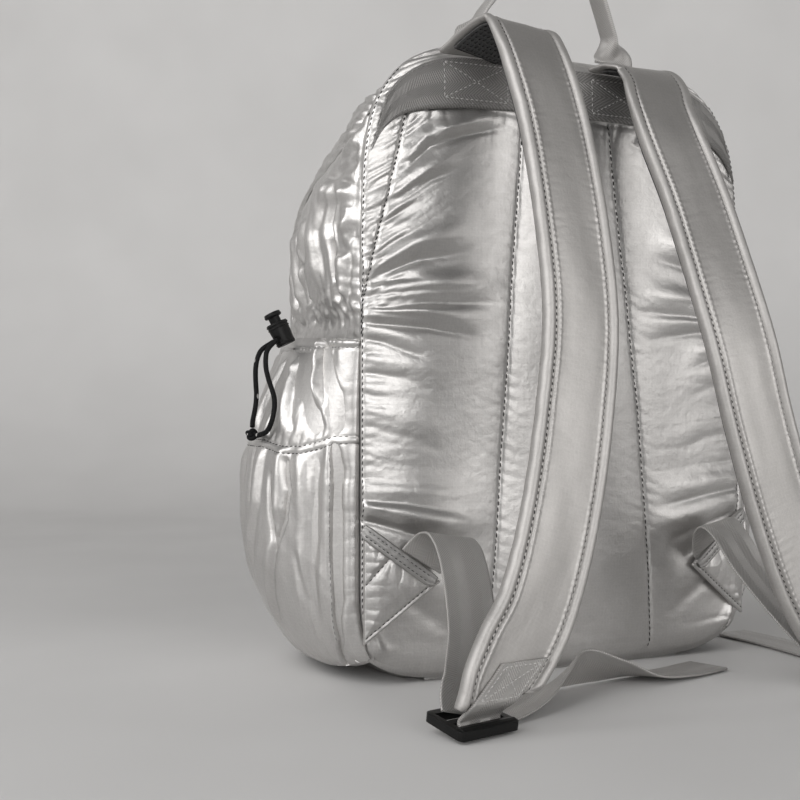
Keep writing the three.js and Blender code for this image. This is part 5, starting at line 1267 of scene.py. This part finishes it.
STRAPS = {}
for side, table, seed in (("left", STRAP_PATH, 601), ("right", STRAP_PATH_RIGHT, 661)):
    ob, STRAPS[side] = strap_cloth(f"strap_cloth_{side}", table, seed)
    spacer = spacer_plate(f"strap_spacer_{side}", STRAPS[side])
    for p_ in spacer.data.polygons:
        p_.use_smooth = False
    if side == "right":
        flipped(ob)
        flipped(spacer)
    done(ob, "ripstop", f"strap_{side}")
    done(spacer, "spacer_mesh", f"strap_mesh_{side}")


# ------------------------------------------------------------------ webbing
def flat_half(width, thickness, belly=0.0):
    h, t = width / 2, thickness / 2
    return [(0, t + belly), (h * 0.35, t + belly * 0.9), (h * 0.7, t + belly * 0.5), (h - 1.6, t), (h - 1.0, t + 0.08), (h - 0.4, t * 0.95), (h - 0.08, t * 0.6), (h, 0.0),
            (h - 0.08, -t * 0.6), (h - 0.4, -t * 0.95), (h - 1.0, -t - 0.08), (h - 1.6, -t), (h * 0.7, -t - belly * 0.5), (h * 0.35, -t - belly * 0.9), (0, -t - belly)]


def tape(name, centres, w, n, width, thickness, mat, s, wave=0.0, seed=0):
    widths = np.broadcast_to(np.asarray(width, float), (len(centres),))
    thick = np.broadcast_to(np.asarray(thickness, float), (len(centres),))
    rings = np.stack([half_to_ring(flat_half(a, t)) for a, t in zip(widths, thick)])
    if wave:
        rings[..., 1] += wave * noise(rings[..., 0] / 16, s[:, None] / 24, seed)
        rings[..., 0] += np.sign(rings[..., 0]) * 0.18 * noise(s[:, None] / 6, np.sign(rings[..., 0]) * 4, seed + 1)
    verts, quads, tris, p = sweep(centres, w, n, rings)
    uv = np.stack([rings[..., 0] + widths[:, None] / 2, np.broadcast_to(s[:, None], rings.shape[:2])], -1).reshape(-1, 2) * 0.1
    uv = np.concatenate([uv, uv[:1], uv[-1:]])
    return mesh_object(name, verts, quads, tris, mat, uv)


def adjust_left():
    row, d, w, n, s = even(ADJUST_PATH, 130, yaw_tip(3))
    # the end runs on down into the buckle's rear slot
    extra = np.linspace(0, 1, 13)[1:, None]
    frame_m = np.array(Matrix.Rotation(math.radians(LADDER["yaw"]), 3, "Z") @ Matrix.Rotation(math.radians(LADDER["pitch"]), 3, "X"))
    slot = frame_m @ np.array([0, 5.1, 1.2]) + np.array([LADDER["x"], LADDER["y"], LADDER["z"]])
    end = row[-1, :3]
    mid = end + d[-1] * 4.5
    ex = (1 - extra) ** 2 * end + 2 * extra * (1 - extra) * mid + extra**2 * slot
    dx = np.gradient(ex, axis=0)
    dx /= np.linalg.norm(dx, axis=1, keepdims=True)
    across = frame_m @ np.array([1.0, 0, 0])
    aw = w[-1] * (1 - extra) + across * extra
    aw -= dx * np.sum(aw * dx, 1, keepdims=True)
    aw /= np.linalg.norm(aw, axis=1, keepdims=True)
    centres = np.concatenate([row[:, :3], ex])
    ws, ds = np.concatenate([w, aw]), np.concatenate([d, dx])
    ns = np.cross(ds, ws)
    s2 = np.concatenate([s, s[-1] + np.cumsum(np.linalg.norm(np.diff(np.concatenate([end[None], ex]), axis=0), axis=1))])
    return tape("adjust_webbing_strip_left", centres, ws, ns, WEBBING_WIDTH, 1.3, TWILL_LIGHT, s2, wave=0.35, seed=701)


adjust = adjust_left()
adjust_right = mirror(adjust, "adjust_webbing_strip_right")
done(adjust, "webbing", "adjust_webbing_left")
done(adjust_right, "webbing", "adjust_webbing_right")


def tail_strip(name, table, node_name, seed):
    row, d, w, n, s = even(table, 150, lambda r: np.broadcast_to((0.0, 0.0, 1.0), (len(r), 3)))
    lean = np.radians(90 - row[:, 3])[:, None]
    across = w * np.cos(lean) + np.cross(d, w) * np.sin(lean)
    nn = np.cross(d, across)
    low = WEBBING_WIDTH / 2 * np.abs(across[:, 2]) + 1.3 / 2 * np.abs(nn[:, 2]) + 0.2
    c = row[:, :3].copy()
    c[:, 2] = np.maximum(c[:, 2], low)
    ob = tape(name, c, across, nn, WEBBING_WIDTH, 1.3, TWILL_LIGHT, s, wave=0.14, seed=seed)
    return done(ob, "webbing", node_name), (c, across, nn, s)


def haul():
    row, d, w, n, s = even(HAUL_ROWS, 150, lambda r: np.broadcast_to((0.0, 1.0, 0.0), (len(r), 3)))
    turn = smooth((row[:, 2] - 339) / 14)
    # folded lengthwise: each half swings in until the strip is a 12.5 mm double layer
    count = 17
    t = np.linspace(-1, 1, count)
    g = turn[:, None]
    phi = g * np.pi / 2 * 0.93
    arm = 12.5
    m = t * arm * np.cos(phi)
    y = np.abs(t) * arm * np.sin(phi) - arm / 2 * np.sin(phi)
    thick = 0.75
    k = len(s)
    fx = np.cross(np.broadcast_to((0.0, 1.0, 0.0), (k, 3)), d)
    fx /= np.linalg.norm(fx, axis=1, keepdims=True)
    fy = np.cross(d, fx)
    fy /= np.linalg.norm(fy, axis=1, keepdims=True)
    sgn = np.sign(fy[:, 1:2])
    fy = fy * sgn
    mid = row[:, None, :3] + fx[:, None] * m[..., None] + fy[:, None] * y[..., None]
    tang = np.gradient(mid, axis=1)
    tang /= np.linalg.norm(tang, axis=-1, keepdims=True)
    norm = np.cross(np.broadcast_to(d[:, None], tang.shape), tang)
    norm /= np.linalg.norm(norm, axis=-1, keepdims=True)
    taper = np.minimum(1.0, (1.02 - np.abs(t)) / 0.06)[None, :, None]
    outer, inner = mid + norm * thick * taper, mid - norm * thick * taper
    ringp = np.concatenate([outer, inner[:, ::-1]], 1)
    mm = ringp.shape[1]
    idx = np.arange(k * mm).reshape(k, mm)
    nxt = np.roll(idx, -1, axis=1)
    quads = np.stack([idx[:-1], nxt[:-1], nxt[1:], idx[1:]], -1).reshape(-1, 4)
    caps = []
    for r in (0, k - 1):
        for j in range(count - 1):
            caps.append((idx[r, j], idx[r, j + 1], idx[r, mm - 2 - j], idx[r, mm - 1 - j]))
    quads = np.concatenate([quads, np.array(caps)])
    u = np.concatenate([t, t[::-1]]) * arm + arm
    uv = np.stack([np.broadcast_to(u, (k, mm)), np.broadcast_to(s[:, None], (k, mm))], -1).reshape(-1, 2) * 0.1
    return mesh_object("haul_loop_webbing", ringp.reshape(-1, 3), quads, None, TWILL_LIGHT, uv)


done(haul(), "webbing", "haul_loop")


def plane_y(x, z):
    """Outer face of the back's base surface at (x, z)."""
    x, z = np.broadcast_arrays(np.asarray(x, float), np.asarray(z, float))
    lo, hi = np.zeros(x.shape), np.ones(x.shape)
    u = 0.5 + 0.5 * np.clip(x / 121, -1, 1)
    for _ in range(24):
        m = (lo + hi) / 2
        below = back_point(u, m)[..., 2] < z
        lo, hi = np.where(below, m, lo), np.where(below, hi, m)
    half = at(SECTION_ROWS, lo * LAST)[..., BACK_HALF]
    return back_point(np.clip(0.5 + 0.5 * x / half, 0, 1), lo)[..., 1]


def yoke_point(u, v):
    side = 2 * u - 1
    row = at(YOKE_ROWS, np.abs(side) * (len(YOKE_ROWS) - 1))
    x = np.sign(side) * (row[..., 2] + (row[..., 0] - row[..., 2]) * v)
    z = row[..., 3] + (row[..., 1] - row[..., 3]) * v
    return np.stack([x, plane_y(x, z) - GAP - 0.25 - YOKE_THICKNESS, z], -1)


yoke_pan = Panel(yoke_point, np.linspace(0, 1, 209), np.linspace(0, 1, 25), (0, -1, 0), (254, 27))
yoke_pan.a, yoke_pan.b = yoke_pan.v * 25.0, yoke_pan.u * 254
yoke_pan.h += 0.25 * noise(yoke_pan.b / 26, yoke_pan.v * 2.2, 721) + 0.10 * noise(yoke_pan.b / 9, yoke_pan.v * 4, 723)
yoke_pan.h -= 0.9 * (1 - np.clip(np.minimum(yoke_pan.v, 1 - yoke_pan.v) * 27 / 1.1, 0, 1)) ** 2
done(yoke_pan.finish("yoke_webbing", TWILL, YOKE_THICKNESS - 0.3, 8, inward=(0, 1, 0)), "webbing", "yoke_band")


# ------------------------------------------------------------------ webbing patch on the strap's end, and the loop to the buckle
def tab_left():
    read, s, end = STRAPS["left"]
    frame_m = np.array(Matrix.Rotation(math.radians(LADDER["yaw"]), 3, "Z") @ Matrix.Rotation(math.radians(LADDER["pitch"]), 3, "X"))
    origin = np.array([LADDER["x"], LADDER["y"], LADDER["z"]])
    across = frame_m @ np.array([1.0, 0, 0])
    rows = []
    for t, shift in ((25.0, 3.6), (19.0, 3.0), (13.0, 2.2), (7.0, 1.4), (1.5, 0.7)):
        c, w, n, h = (g[0] for g in read(np.array([end - t])))
        side = across - n * across.dot(n)
        side /= np.linalg.norm(side)
        rows.append((*(c + n * (4.05 if t > 3 else 3.2) + w * shift), *side, *n))
    below = [frame_m @ np.array(q, float) + origin for q in ((0, -7.4, 7.0), (0, -5, 3.8), (0, -5, 1.0))]
    for k, q in enumerate(below):
        step = below[min(k + 1, 2)] - below[max(k - 1, 0)]
        nn = np.cross(step, across)
        nn /= np.linalg.norm(nn)
        if nn[1] > 0:
            nn = -nn
        rows.append((*q, *across, *nn))
    table = np.array(rows)
    fine = at(table, np.linspace(0, len(table) - 1, 1200))
    arc = np.concatenate([[0], np.cumsum(np.linalg.norm(np.diff(fine[:, :3], axis=0), axis=1))])
    ss = np.linspace(0, arc[-1], 91)
    r = at(table, np.interp(ss, arc, np.linspace(0, len(table) - 1, 1200)))
    ww = r[:, 3:6] / np.linalg.norm(r[:, 3:6], axis=1, keepdims=True)
    nn = r[:, 6:9] / np.linalg.norm(r[:, 6:9], axis=1, keepdims=True)
    return tape("strap_end_webbing_left", r[:, :3], ww, nn, WEBBING_WIDTH, 1.9, TWILL_LIGHT, ss, wave=0.10, seed=731), (r, ww, nn, ss)


tab, TAB = tab_left()
tab_right = mirror(tab, "strap_end_webbing_right")
done(tab, "webbing", "strap_tab_left")
done(tab_right, "webbing", "strap_tab_right")


# ------------------------------------------------------------------ wing tabs
TAB_TOP, TAB_CORNER, TAB_FOOT = np.array([-120.9, 84.0]), np.array([-80.5, 54.0]), np.array([-120.9, 23.0])


def wing_xy(p, q):
    """p from the seam to the corner, q from the lower edge to the upper one."""
    p, q = np.asarray(p, float)[..., None], np.asarray(q, float)[..., None]
    low = TAB_FOOT + (TAB_CORNER - TAB_FOOT) * p
    high = TAB_TOP + (TAB_CORNER - TAB_TOP) * p
    return low + (high - low) * q


def edge_distance(xy, a, b):
    d = (b - a) / np.linalg.norm(b - a)
    return np.abs((xy[..., 0] - a[0]) * d[1] - (xy[..., 1] - a[1]) * d[0])


def wing_point(u, v):
    xy = wing_xy(u * 0.985, v)
    reach = np.clip((xy[..., 0] + 120.6) / 40.1, 0, 1)
    return np.stack([xy[..., 0], -61.3 - 6.4 * reach - 2.4, xy[..., 1]], -1)


INNER_A, INNER_B = np.array([-120.9, 53.0]), np.array([-104.0, 71.0])


def wing_tab(side):
    pan = Panel(wing_point, np.linspace(0, 1, 89), np.linspace(0, 1, 97), (0, -1, 0), (50, 61))
    x, z = pan.base[..., 0], pan.base[..., 2]
    xy = np.stack([x, z], -1)
    pan.a, pan.b = x, z
    up, down, seam = edge_distance(xy, TAB_TOP, TAB_CORNER), edge_distance(xy, TAB_FOOT, TAB_CORNER), x + 120.9
    inner = edge_distance(xy, INNER_A, INNER_B)
    fill = np.clip(np.minimum(np.minimum(up - 5.2, down - 2.4), seam) / 7, 0, 1)
    h = pan.h
    h += 1.3 * fill ** 0.7 * (1 - 0.75 * np.exp(-(inner / 1.6) ** 2))
    h -= 0.3 * np.exp(-((down - 2.4) / 0.8) ** 2) + 0.2 * np.exp(-(inner / 0.7) ** 2)
    h += puckers(x, np.clip(down - 2.4, 0, None), 5.2, 7.0, 0.5, 741, 0.2) * (seam > 2) + puckers(x, np.clip(up - 5.4, 0, None), 5.6, 6.0, 0.5, 743, 0.2)
    h += puckers(z, seam, 6.0, 6.0, 0.7, 745, 0.1) + 0.25 * noise(x / 9, z / 12, 747)
    above = z - (53.0 + (x + 120.9) * 18.0 / 16.9)
    h += 0.9 * (crumple(x / 7, z / 9, 749, 2) - 0.65) * smooth(above / 3) * fill
    h -= 1.3 * (1 - np.clip(np.minimum(up, down) / 1.0, 0, 1)) ** 2
    ob = pan.finish(f"wing_tab_cloth_{side}", RIPSTOP, 2.2, 8, inward=(0, 1, 0))
    if side == "right":
        flipped(ob)
    # binding folded over the upper edge
    t = np.linspace(0, 1, 81)
    a3, b3 = wing_point(np.zeros(1), np.ones(1))[0], wing_point(np.ones(1), np.ones(1))[0]
    line = a3 + (b3 - a3) * t[:, None] * 0.955
    d = np.broadcast_to((b3 - a3) / np.linalg.norm(b3 - a3), line.shape)
    n = np.broadcast_to((0.0, -1.0, 0.0), line.shape)
    w = np.cross(n, d)
    if w[0, 2] > 0:
        w = -w
    n = np.cross(d, w)
    if n[0, 1] > 0:
        n = -n
    half = np.array([(-0.9, 0.2), (-1.0, 0.9), (-0.5, 1.5), (0.3, 1.7), (1.0, 1.55), (1.35, 1.35), (1.9, 1.6), (2.9, 1.7), (3.9, 1.6), (4.4, 1.35), (4.9, 1.55), (5.7, 1.5), (6.2, 1.1), (6.3, 0.5),
                     (6.0, -0.3), (1.0, -0.3), (0.6, -2.4), (-0.6, -2.4), (-1.0, -1.4)])
    rings = np.broadcast_to(half, (len(t), *half.shape)).copy()
    rings[..., 1] += (rings[..., 1] > 0.8) * 0.16 * noise(t[:, None] * 14, rings[..., 0] / 3, 751)
    rings *= (0.75 + 0.25 * smooth(t * 14) * smooth((1 - t) * 14))[:, None, None]
    verts, quads, tris, p = sweep(line, w, n, rings)
    length = np.linalg.norm(b3 - a3)
    uv = np.stack([rings[..., 0], np.broadcast_to(t[:, None] * length, rings.shape[:2])], -1).reshape(-1, 2) * 0.1
    bind = mesh_object(f"wing_tab_binding_{side}", verts, quads, tris, BINDING, np.concatenate([uv, uv[:1], uv[-1:]]))
    if side == "right":
        flipped(bind)
    done(ob, "ripstop", f"wing_tab_{side}")
    done(bind, "ripstop")
    return pan, (line, w, n)


wing_pans = {side: wing_tab(side) for side in ("left", "right")}
tail_a, TAIL_A = tail_strip("webbing_tail_strip_left", TAIL_LEFT, "webbing_tail_left", 761)
tail_b, TAIL_B = tail_strip("webbing_tail_strip_right", TAIL_RIGHT, "webbing_tail_right", 763)


# ------------------------------------------------------------------ moulded pieces
def rounded_copy(node_name, name, offset, mat, limit=0.4):
    """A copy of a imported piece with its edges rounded."""
    src = bpy.data.objects[node_name]
    bm = bmesh.new()
    bm.from_mesh(src.data)
    bmesh.ops.remove_doubles(bm, verts=bm.verts, dist=1e-6)
    bmesh.ops.dissolve_limit(bm, angle_limit=math.radians(3), verts=bm.verts, edges=bm.edges)
    edges = [e for e in bm.edges if len(e.link_faces) == 2 and e.calc_face_angle(0.0) > limit]
    if offset > 0:
        bmesh.ops.bevel(bm, geom=edges, offset=offset * MM, segments=2, profile=0.6, affect="EDGES", clamp_overlap=True)
    bmesh.ops.triangulate(bm, faces=[f for f in bm.faces if len(f.verts) > 4])
    me = bpy.data.meshes.new(name)
    bm.to_mesh(me)
    bm.free()
    me.materials.clear()
    me.materials.append(mat)
    ob = bpy.data.objects.new(name, me)
    bpy.context.scene.collection.objects.link(ob)
    ob.matrix_world = src.matrix_world.copy()
    for f in me.polygons:
        f.use_smooth = True
    for e in me.edges:
        e.use_edge_sharp = False
    return ob


def lock_axes(sign):
    up = LOCK_LEAN / np.linalg.norm(LOCK_LEAN)
    side = np.array((0.93, 0.34, 0.0))
    side = side - up * side.dot(up)
    side /= np.linalg.norm(side)
    out = np.cross(up, side)
    return LOCK, side, out, up


def lock_ribs(name, rows, mat, sign):
    """Elliptical rings round the cord lock: (height, half width, half depth, rib height, rib depth)."""
    c, side, out, up = lock_axes(sign)
    verts, quads, base = [], [], 0
    a = np.linspace(0, 2 * np.pi, 41)[:-1]
    prof = np.array([(math.cos(t), math.sin(t)) for t in np.linspace(0, 2 * np.pi, 9)[:-1]])
    for hgt, rx, ry, rh, rd in rows:
        centre = c + up * hgt
        radial = np.cos(a)[:, None] * side * rx + np.sin(a)[:, None] * out * ry
        unit = radial / np.linalg.norm(radial, axis=1, keepdims=True)
        p = centre + radial[:, None] + unit[:, None] * prof[None, :, :1] * rd + up * prof[None, :, 1:] * rh
        idx = np.arange(40 * 8).reshape(40, 8) + base
        quads.append(np.stack([idx, np.roll(idx, -1, 1), np.roll(np.roll(idx, -1, 1), -1, 0), np.roll(idx, -1, 0)], -1).reshape(-1, 4))
        verts.append(p.reshape(-1, 3))
        base += 320
    verts = np.concatenate(verts)
    verts[:, 0] *= -sign
    return mesh_object(name, verts, np.concatenate(quads), None, mat)


for side, sign in (("left", -1), ("right", 1)):
    lock = rounded_copy(f"ladder_lock_{side}", f"buckle_{side}", 0.55, PLASTIC)
    done(lock, "black_plastic", f"ladder_lock_{side}")
    body = rounded_copy(f"cord_lock_body_{side}", f"toggle_body_{side}", 0.5, PLASTIC, limit=0.7)
    done(body, "black_plastic", f"cord_lock_body_{side}")
    ribs = lock_ribs(f"toggle_ribs_{side}", [(5.4, 6.35, 5.1, 0.55, 0.55), (3.6, 6.3, 5.05, 0.4, 0.45), (-5.3, 5.7, 4.6, 0.5, 0.4)], PLASTIC, sign)
    done(ribs, "black_plastic")
    button = rounded_copy(f"cord_lock_button_{side}", f"toggle_button_{side}", 0.35, PLASTIC, limit=0.7)
    done(button, "black_plastic", f"cord_lock_button_{side}", body=f"button_{side}")
    cap = lock_ribs(f"toggle_button_ribs_{side}", [(11.0, 4.5, 4.5, 0.35, 0.5), (12.1, 3.9, 3.9, 0.3, 0.45)], PLASTIC, sign)
    done(cap, "black_plastic", body=f"button_{side}")

zip_node = bpy.data.objects["main_zip"]
for slot_ in zip_node.material_slots:
    slot_.material = ZIP_TAPE


# ------------------------------------------------------------------ stitches
def seam_line(pan, us, vs, lift=0.0, mirror_x=False, count=None):
    if count:
        t = np.linspace(0, 1, len(us))
        us, vs = np.interp(np.linspace(0, 1, count), t, us), np.interp(np.linspace(0, 1, count), t, vs)
    p, n = pan.at(np.asarray(us, float), np.asarray(vs, float), lift)
    if mirror_x:
        p, n = p * (-1, 1, 1), n * (-1, 1, 1)
    return p, n


def back_uv(x, z):
    """Panel coordinates of points of the back by x and z."""
    x, z = np.asarray(x, float), np.asarray(z, float)
    lo, hi = np.zeros(x.shape), np.ones(x.shape)
    for _ in range(26):
        m = (lo + hi) / 2
        half = at(SECTION_ROWS, m * LAST)[:, BACK_HALF]
        below = back_point(np.clip(0.5 + 0.5 * x / half, 0, 1), m)[:, 2] < z
        lo, hi = np.where(below, m, lo), np.where(below, hi, m)
    half = at(SECTION_ROWS, lo * LAST)[:, BACK_HALF]
    return np.clip(0.5 + 0.5 * x / half, 0, 1), lo


dark, mid_thread, light_thread = Threads(), Threads(), Threads()
zz = np.linspace(24, 316, 700)
for sgn in (-1, 1):
    v = np.linspace(0.05, 0.80, 900)
    half = at(SECTION_ROWS, v * LAST)[:, BACK_HALF]
    p, n = back_pan.at(0.5 + sgn * 0.5 * (half - 0.5) / half, v, 0.2)
    dark.line(p, n, 3.1, 2.3, 0.62, 0.5, lean=0.18 * sgn)
    z = np.linspace(181, 301, 500)
    x = np.interp(z, CURVE_Z, CURVE_X) * -sgn
    u, vv = back_uv(x, z)
    p, n = back_pan.at(u, vv, 0.22)
    dark.line(p, n, 3.0, 2.3, 0.66, 0.55, lean=0.2 * sgn)
for zs, xs in (LEFT_LINE, RIGHT_LINE):
    z = np.linspace(4, 301.5, 900)
    u, vv = back_uv(np.interp(z, zs, xs), z)
    p, n = back_pan.at(u, vv, 0.28)
    dark.line(p, n, 3.4, 2.6, 0.62, 0.5, lean=0.12)

for side, flip_x in (("left", False), ("right", True)):
    pan = pocket_pans[side]
    tz = pan.base[:, :, 2]

    def v_at(a, z, pan=pan, tz=tz):
        u = a / POCKET_A
        fu = np.interp(u, pan.us, np.arange(len(pan.us))).astype(int)
        return np.array([np.interp(zz_, tz[:, i], pan.vs) for zz_, i in zip(z, fu)])

    a = np.linspace(1.5, POCKET_A - 2, 500)
    for off in (1.9, -1.9):
        z = np.interp(a, *POCKET_SEAM) + off
        p, n = seam_line(pan, a / POCKET_A, v_at(a, z), 0.12, flip_x)
        dark.line(p, n, 3.0, 2.2, 0.55, 0.45, lean=0.1)
    z = tz[-1, np.interp(a / POCKET_A, pan.us, np.arange(len(pan.us))).astype(int)] - 4.6
    p, n = seam_line(pan, a / POCKET_A, v_at(a, z), 0.15, flip_x)
    mid_thread.line(p, n, 2.8, 2.1, 0.55, 0.45, lean=0.1)
    z = np.linspace(24, 122, 300)
    a2 = np.interp(z, *PLEAT) + 1.9
    p, n = seam_line(pan, a2 / POCKET_A, v_at(a2, z), 0.1, flip_x)
    mid_thread.line(p, n, 3.2, 2.1, 0.45, 0.38)
    # wing tab
    wpan, (line, w, n) = wing_pans[side]
    m = np.array((-1, 1, 1)) if flip_x else np.array((1, 1, 1))
    for off in (1.35, 4.4):
        pts = line + w * off + n * 1.42
        pts = pts[4:-7]
        dark.line(pts * m, n[4:-7] * m, 2.7, 2.0, 0.55, 0.45, lean=0.1)
    uu = np.linspace(0.02, 0.93, 200)
    xy = wing_xy(uu * 0.985, np.zeros(200))
    dd = (TAB_CORNER - TAB_FOOT) / np.linalg.norm(TAB_CORNER - TAB_FOOT)
    nn2 = np.array((-dd[1], dd[0]))
    for off in (2.4,):
        q = xy + nn2 * off
        p0 = (q[:, 0] + 120.9) / 40.4 / 0.985
        lo = TAB_FOOT + (TAB_CORNER - TAB_FOOT) * (p0 * 0.985)[:, None]
        hi = TAB_TOP + (TAB_CORNER - TAB_TOP) * (p0 * 0.985)[:, None]
        q0 = (q[:, 1] - lo[:, 1]) / np.maximum(hi[:, 1] - lo[:, 1], 1e-6)
        k = (q0 < 0.9) & (p0 < 0.94)
        p, nn = seam_line(wpan, p0[k], q0[k], 0.12, flip_x)
        dark.line(p, nn, 2.7, 2.0, 0.55, 0.45)
    t = np.linspace(0, 0.97, 80)[:, None]
    q = INNER_A + (INNER_B - INNER_A) * t
    p0 = (q[:, 0] + 120.9) / 40.4 / 0.985
    lo = TAB_FOOT + (TAB_CORNER - TAB_FOOT) * (p0 * 0.985)[:, None]
    hi = TAB_TOP + (TAB_CORNER - TAB_TOP) * (p0 * 0.985)[:, None]
    p, nn = seam_line(wpan, p0, (q[:, 1] - lo[:, 1]) / (hi[:, 1] - lo[:, 1]), 0.12, flip_x)
    dark.line(p, nn, 2.7, 2.0, 0.5, 0.42)
    # strap rows in the grooves beside the rolled edges
    for off in (6.1, -6.1):
        p, n = strap_line(STRAPS[side], off, 1.72, 5.0)
        dark.line(p * m, n * m, 3.0, 2.1, 0.6, 0.5, lean=0.25)
    # box and cross on the strap's end
    r, ww, nn, ss = TAB

    def patch(ap, sp):
        ap, sp = np.asarray(ap, float), np.asarray(sp, float)
        c = np.stack([np.interp(sp, ss, r[:, k]) for k in range(3)], -1)
        w3 = np.stack([np.interp(sp, ss, ww[:, k]) for k in range(3)], -1)
        n3 = np.stack([np.interp(sp, ss, nn[:, k]) for k in range(3)], -1)
        pts = c + w3 * ap[:, None] + n3 * 1.05
        return pts * m, n3 * m

    t = np.linspace(0, 1, 60)
    for a0, s0, a1, s1 in ((-10, 2.2, 10, 2.2), (-10, 21, 10, 21), (-10, 2.2, -10, 21), (10, 2.2, 10, 21), (-10, 2.2, 10, 21), (10, 2.2, -10, 21)):
        light_thread.line(*patch(a0 + (a1 - a0) * t, s0 + (s1 - s0) * t), 2.3, 1.9, 0.6, 0.5)

# yoke: rows along both edges and a box with a cross over each strap end
def yoke_line(x0, z0, x1, z1, count=160):
    """Straight row on the band, by x and z."""
    x, z = np.linspace(x0, x1, count), np.linspace(z0, z1, count)
    tab_x = np.abs(x)
    lo, hi = np.zeros(count), np.ones(count)
    pos = tab_x / 110
    for _ in range(30):
        row = at(YOKE_ROWS, pos * (len(YOKE_ROWS) - 1))
        v = np.clip((z - row[:, 3]) / np.maximum(row[:, 1] - row[:, 3], 1e-6), 0, 1)
        here = row[:, 2] + (row[:, 0] - row[:, 2]) * v
        pos = np.clip(pos + (tab_x - here) / 130, 0, 1)
    u = 0.5 + 0.5 * np.sign(x) * pos
    return yoke_pan.at(u, v, 0.12)


for v in (0.085, 0.93):
    u = np.linspace(0.01, 0.99, 700)
    p, n = yoke_pan.at(u, np.full(700, v), 0.1)
    mid_thread.line(p, n, 3.0, 2.2, 0.55, 0.45)
for near_x, far_x in ((-76.5, -39.5), (14, 52)):
    for x0, z0, x1, z1 in ((near_x, 306, far_x, 306), (near_x, 325, far_x, 325), (near_x, 306, near_x, 325), (far_x, 306, far_x, 325), (near_x, 306, far_x, 325), (near_x, 325, far_x, 306)):
        p, n = yoke_line(x0, z0, x1, z1)
        light_thread.line(p, n, 2.8, 2.1, 0.55, 0.45)

for name, group, mat in (("stitches_dark", dark, THREAD_DARK), ("stitches_mid", mid_thread, THREAD_MID), ("stitches_light", light_thread, THREAD_LIGHT)):
    done(group.make(name, mat), "ripstop" if name != "stitches_light" else "webbing")


# ------------------------------------------------------------------ light, floor, backdrop
def stage():
    # one sheet of pale paper: floor that curves up behind
    rows = []
    for y in np.linspace(-1600, 900, 6):
        rows.append((y, 0.0))
    for t in np.linspace(0, np.pi / 2, 12)[1:]:
        rows.append((900 + 500 * math.sin(t), 500 - 500 * math.cos(t)))
    for zz in (900, 1500, 2400):
        rows.append((1400, zz))
    rows = np.array(rows)
    turn = math.radians(-25)
    verts = []
    for yy, zz in rows:
        for xx in np.linspace(-2600, 2600, 9):
            verts.append((xx * math.cos(turn) - yy * math.sin(turn), xx * math.sin(turn) + yy * math.cos(turn), zz - 0.05))
    idx = np.arange(len(rows) * 9).reshape(-1, 9)
    quads = np.stack([idx[:-1, :-1], idx[:-1, 1:], idx[1:, 1:], idx[1:, :-1]], -1).reshape(-1, 4)
    m, nt, p = shader("paper")
    coord = node(nt, "ShaderNodeTexCoord").outputs["Object"]
    fine = node(nt, "ShaderNodeTexNoise", {"Vector": coord, "Scale": 6.0, "Detail": 2.0}).outputs["Fac"]
    nt.links.new(ramp(nt, fine, [(0.3, (0.60, 0.595, 0.59)), (0.7, (0.64, 0.635, 0.63))]), p.inputs["Base Color"])
    p.inputs["Roughness"].default_value = 0.7
    ob = mesh_object("floor", np.array(verts), quads, None, m, recalc=False)


def area_light(name, location, target, size, power, color=(1, 1, 1)):
    data = bpy.data.lights.new(name, "AREA")
    data.shape = "RECTANGLE"
    data.size, data.size_y = size
    data.energy = power
    data.color = color
    ob = bpy.data.objects.new(name, data)
    bpy.context.scene.collection.objects.link(ob)
    ob.location = location
    ob.rotation_euler = (Vector(target) - Vector(location)).to_track_quat("-Z", "Y").to_euler()
    return ob


def world():
    w = bpy.data.worlds.new("studio")
    bpy.context.scene.world = w
    w.use_nodes = True
    nt = w.node_tree
    nt.nodes.clear()
    out = nt.nodes.new("ShaderNodeOutputWorld")
    bg = nt.nodes.new("ShaderNodeBackground")
    nt.links.new(bg.outputs[0], out.inputs[0])
    d = node(nt, "ShaderNodeTexCoord").outputs["Generated"]

    def lobe(direction, power):
        v = Vector(direction).normalized()
        dot = node(nt, "ShaderNodeVectorMath", {0: d, 1: tuple(v)}, operation="DOT_PRODUCT").outputs["Value"]
        return maths(nt, "POWER", maths(nt, "MAXIMUM", dot, 0.0), power)

    total = maths(nt, "ADD", maths(nt, "MULTIPLY", lobe((-0.84, -0.42, 0.30), 8.0), 1.35), 0.07)
    total = maths(nt, "ADD", total, maths(nt, "MULTIPLY", lobe((0.36, -0.93, 0.05), 9.0), 2.2))
    total = maths(nt, "ADD", total, maths(nt, "MULTIPLY", lobe((-0.9, 0.35, 0.25), 7.0), 0.45))
    total = maths(nt, "ADD", total, maths(nt, "MULTIPLY", lobe((0.3, 0.9, 0.4), 2.0), 0.30))
    nt.links.new(total, bg.inputs["Strength"])
    bg.inputs["Color"].default_value = (1.0, 0.985, 0.97, 1)


stage()
world()
area_light("key", (-1.35, -0.45, 1.05), (0, 0, 0.17), (1.5, 1.5), 15.0)
area_light("front", (-0.1, -1.9, 0.75), (0, 0, 0.17), (1.5, 0.9), 8.0)
bpy.context.scene.view_settings.view_transform = "Standard"
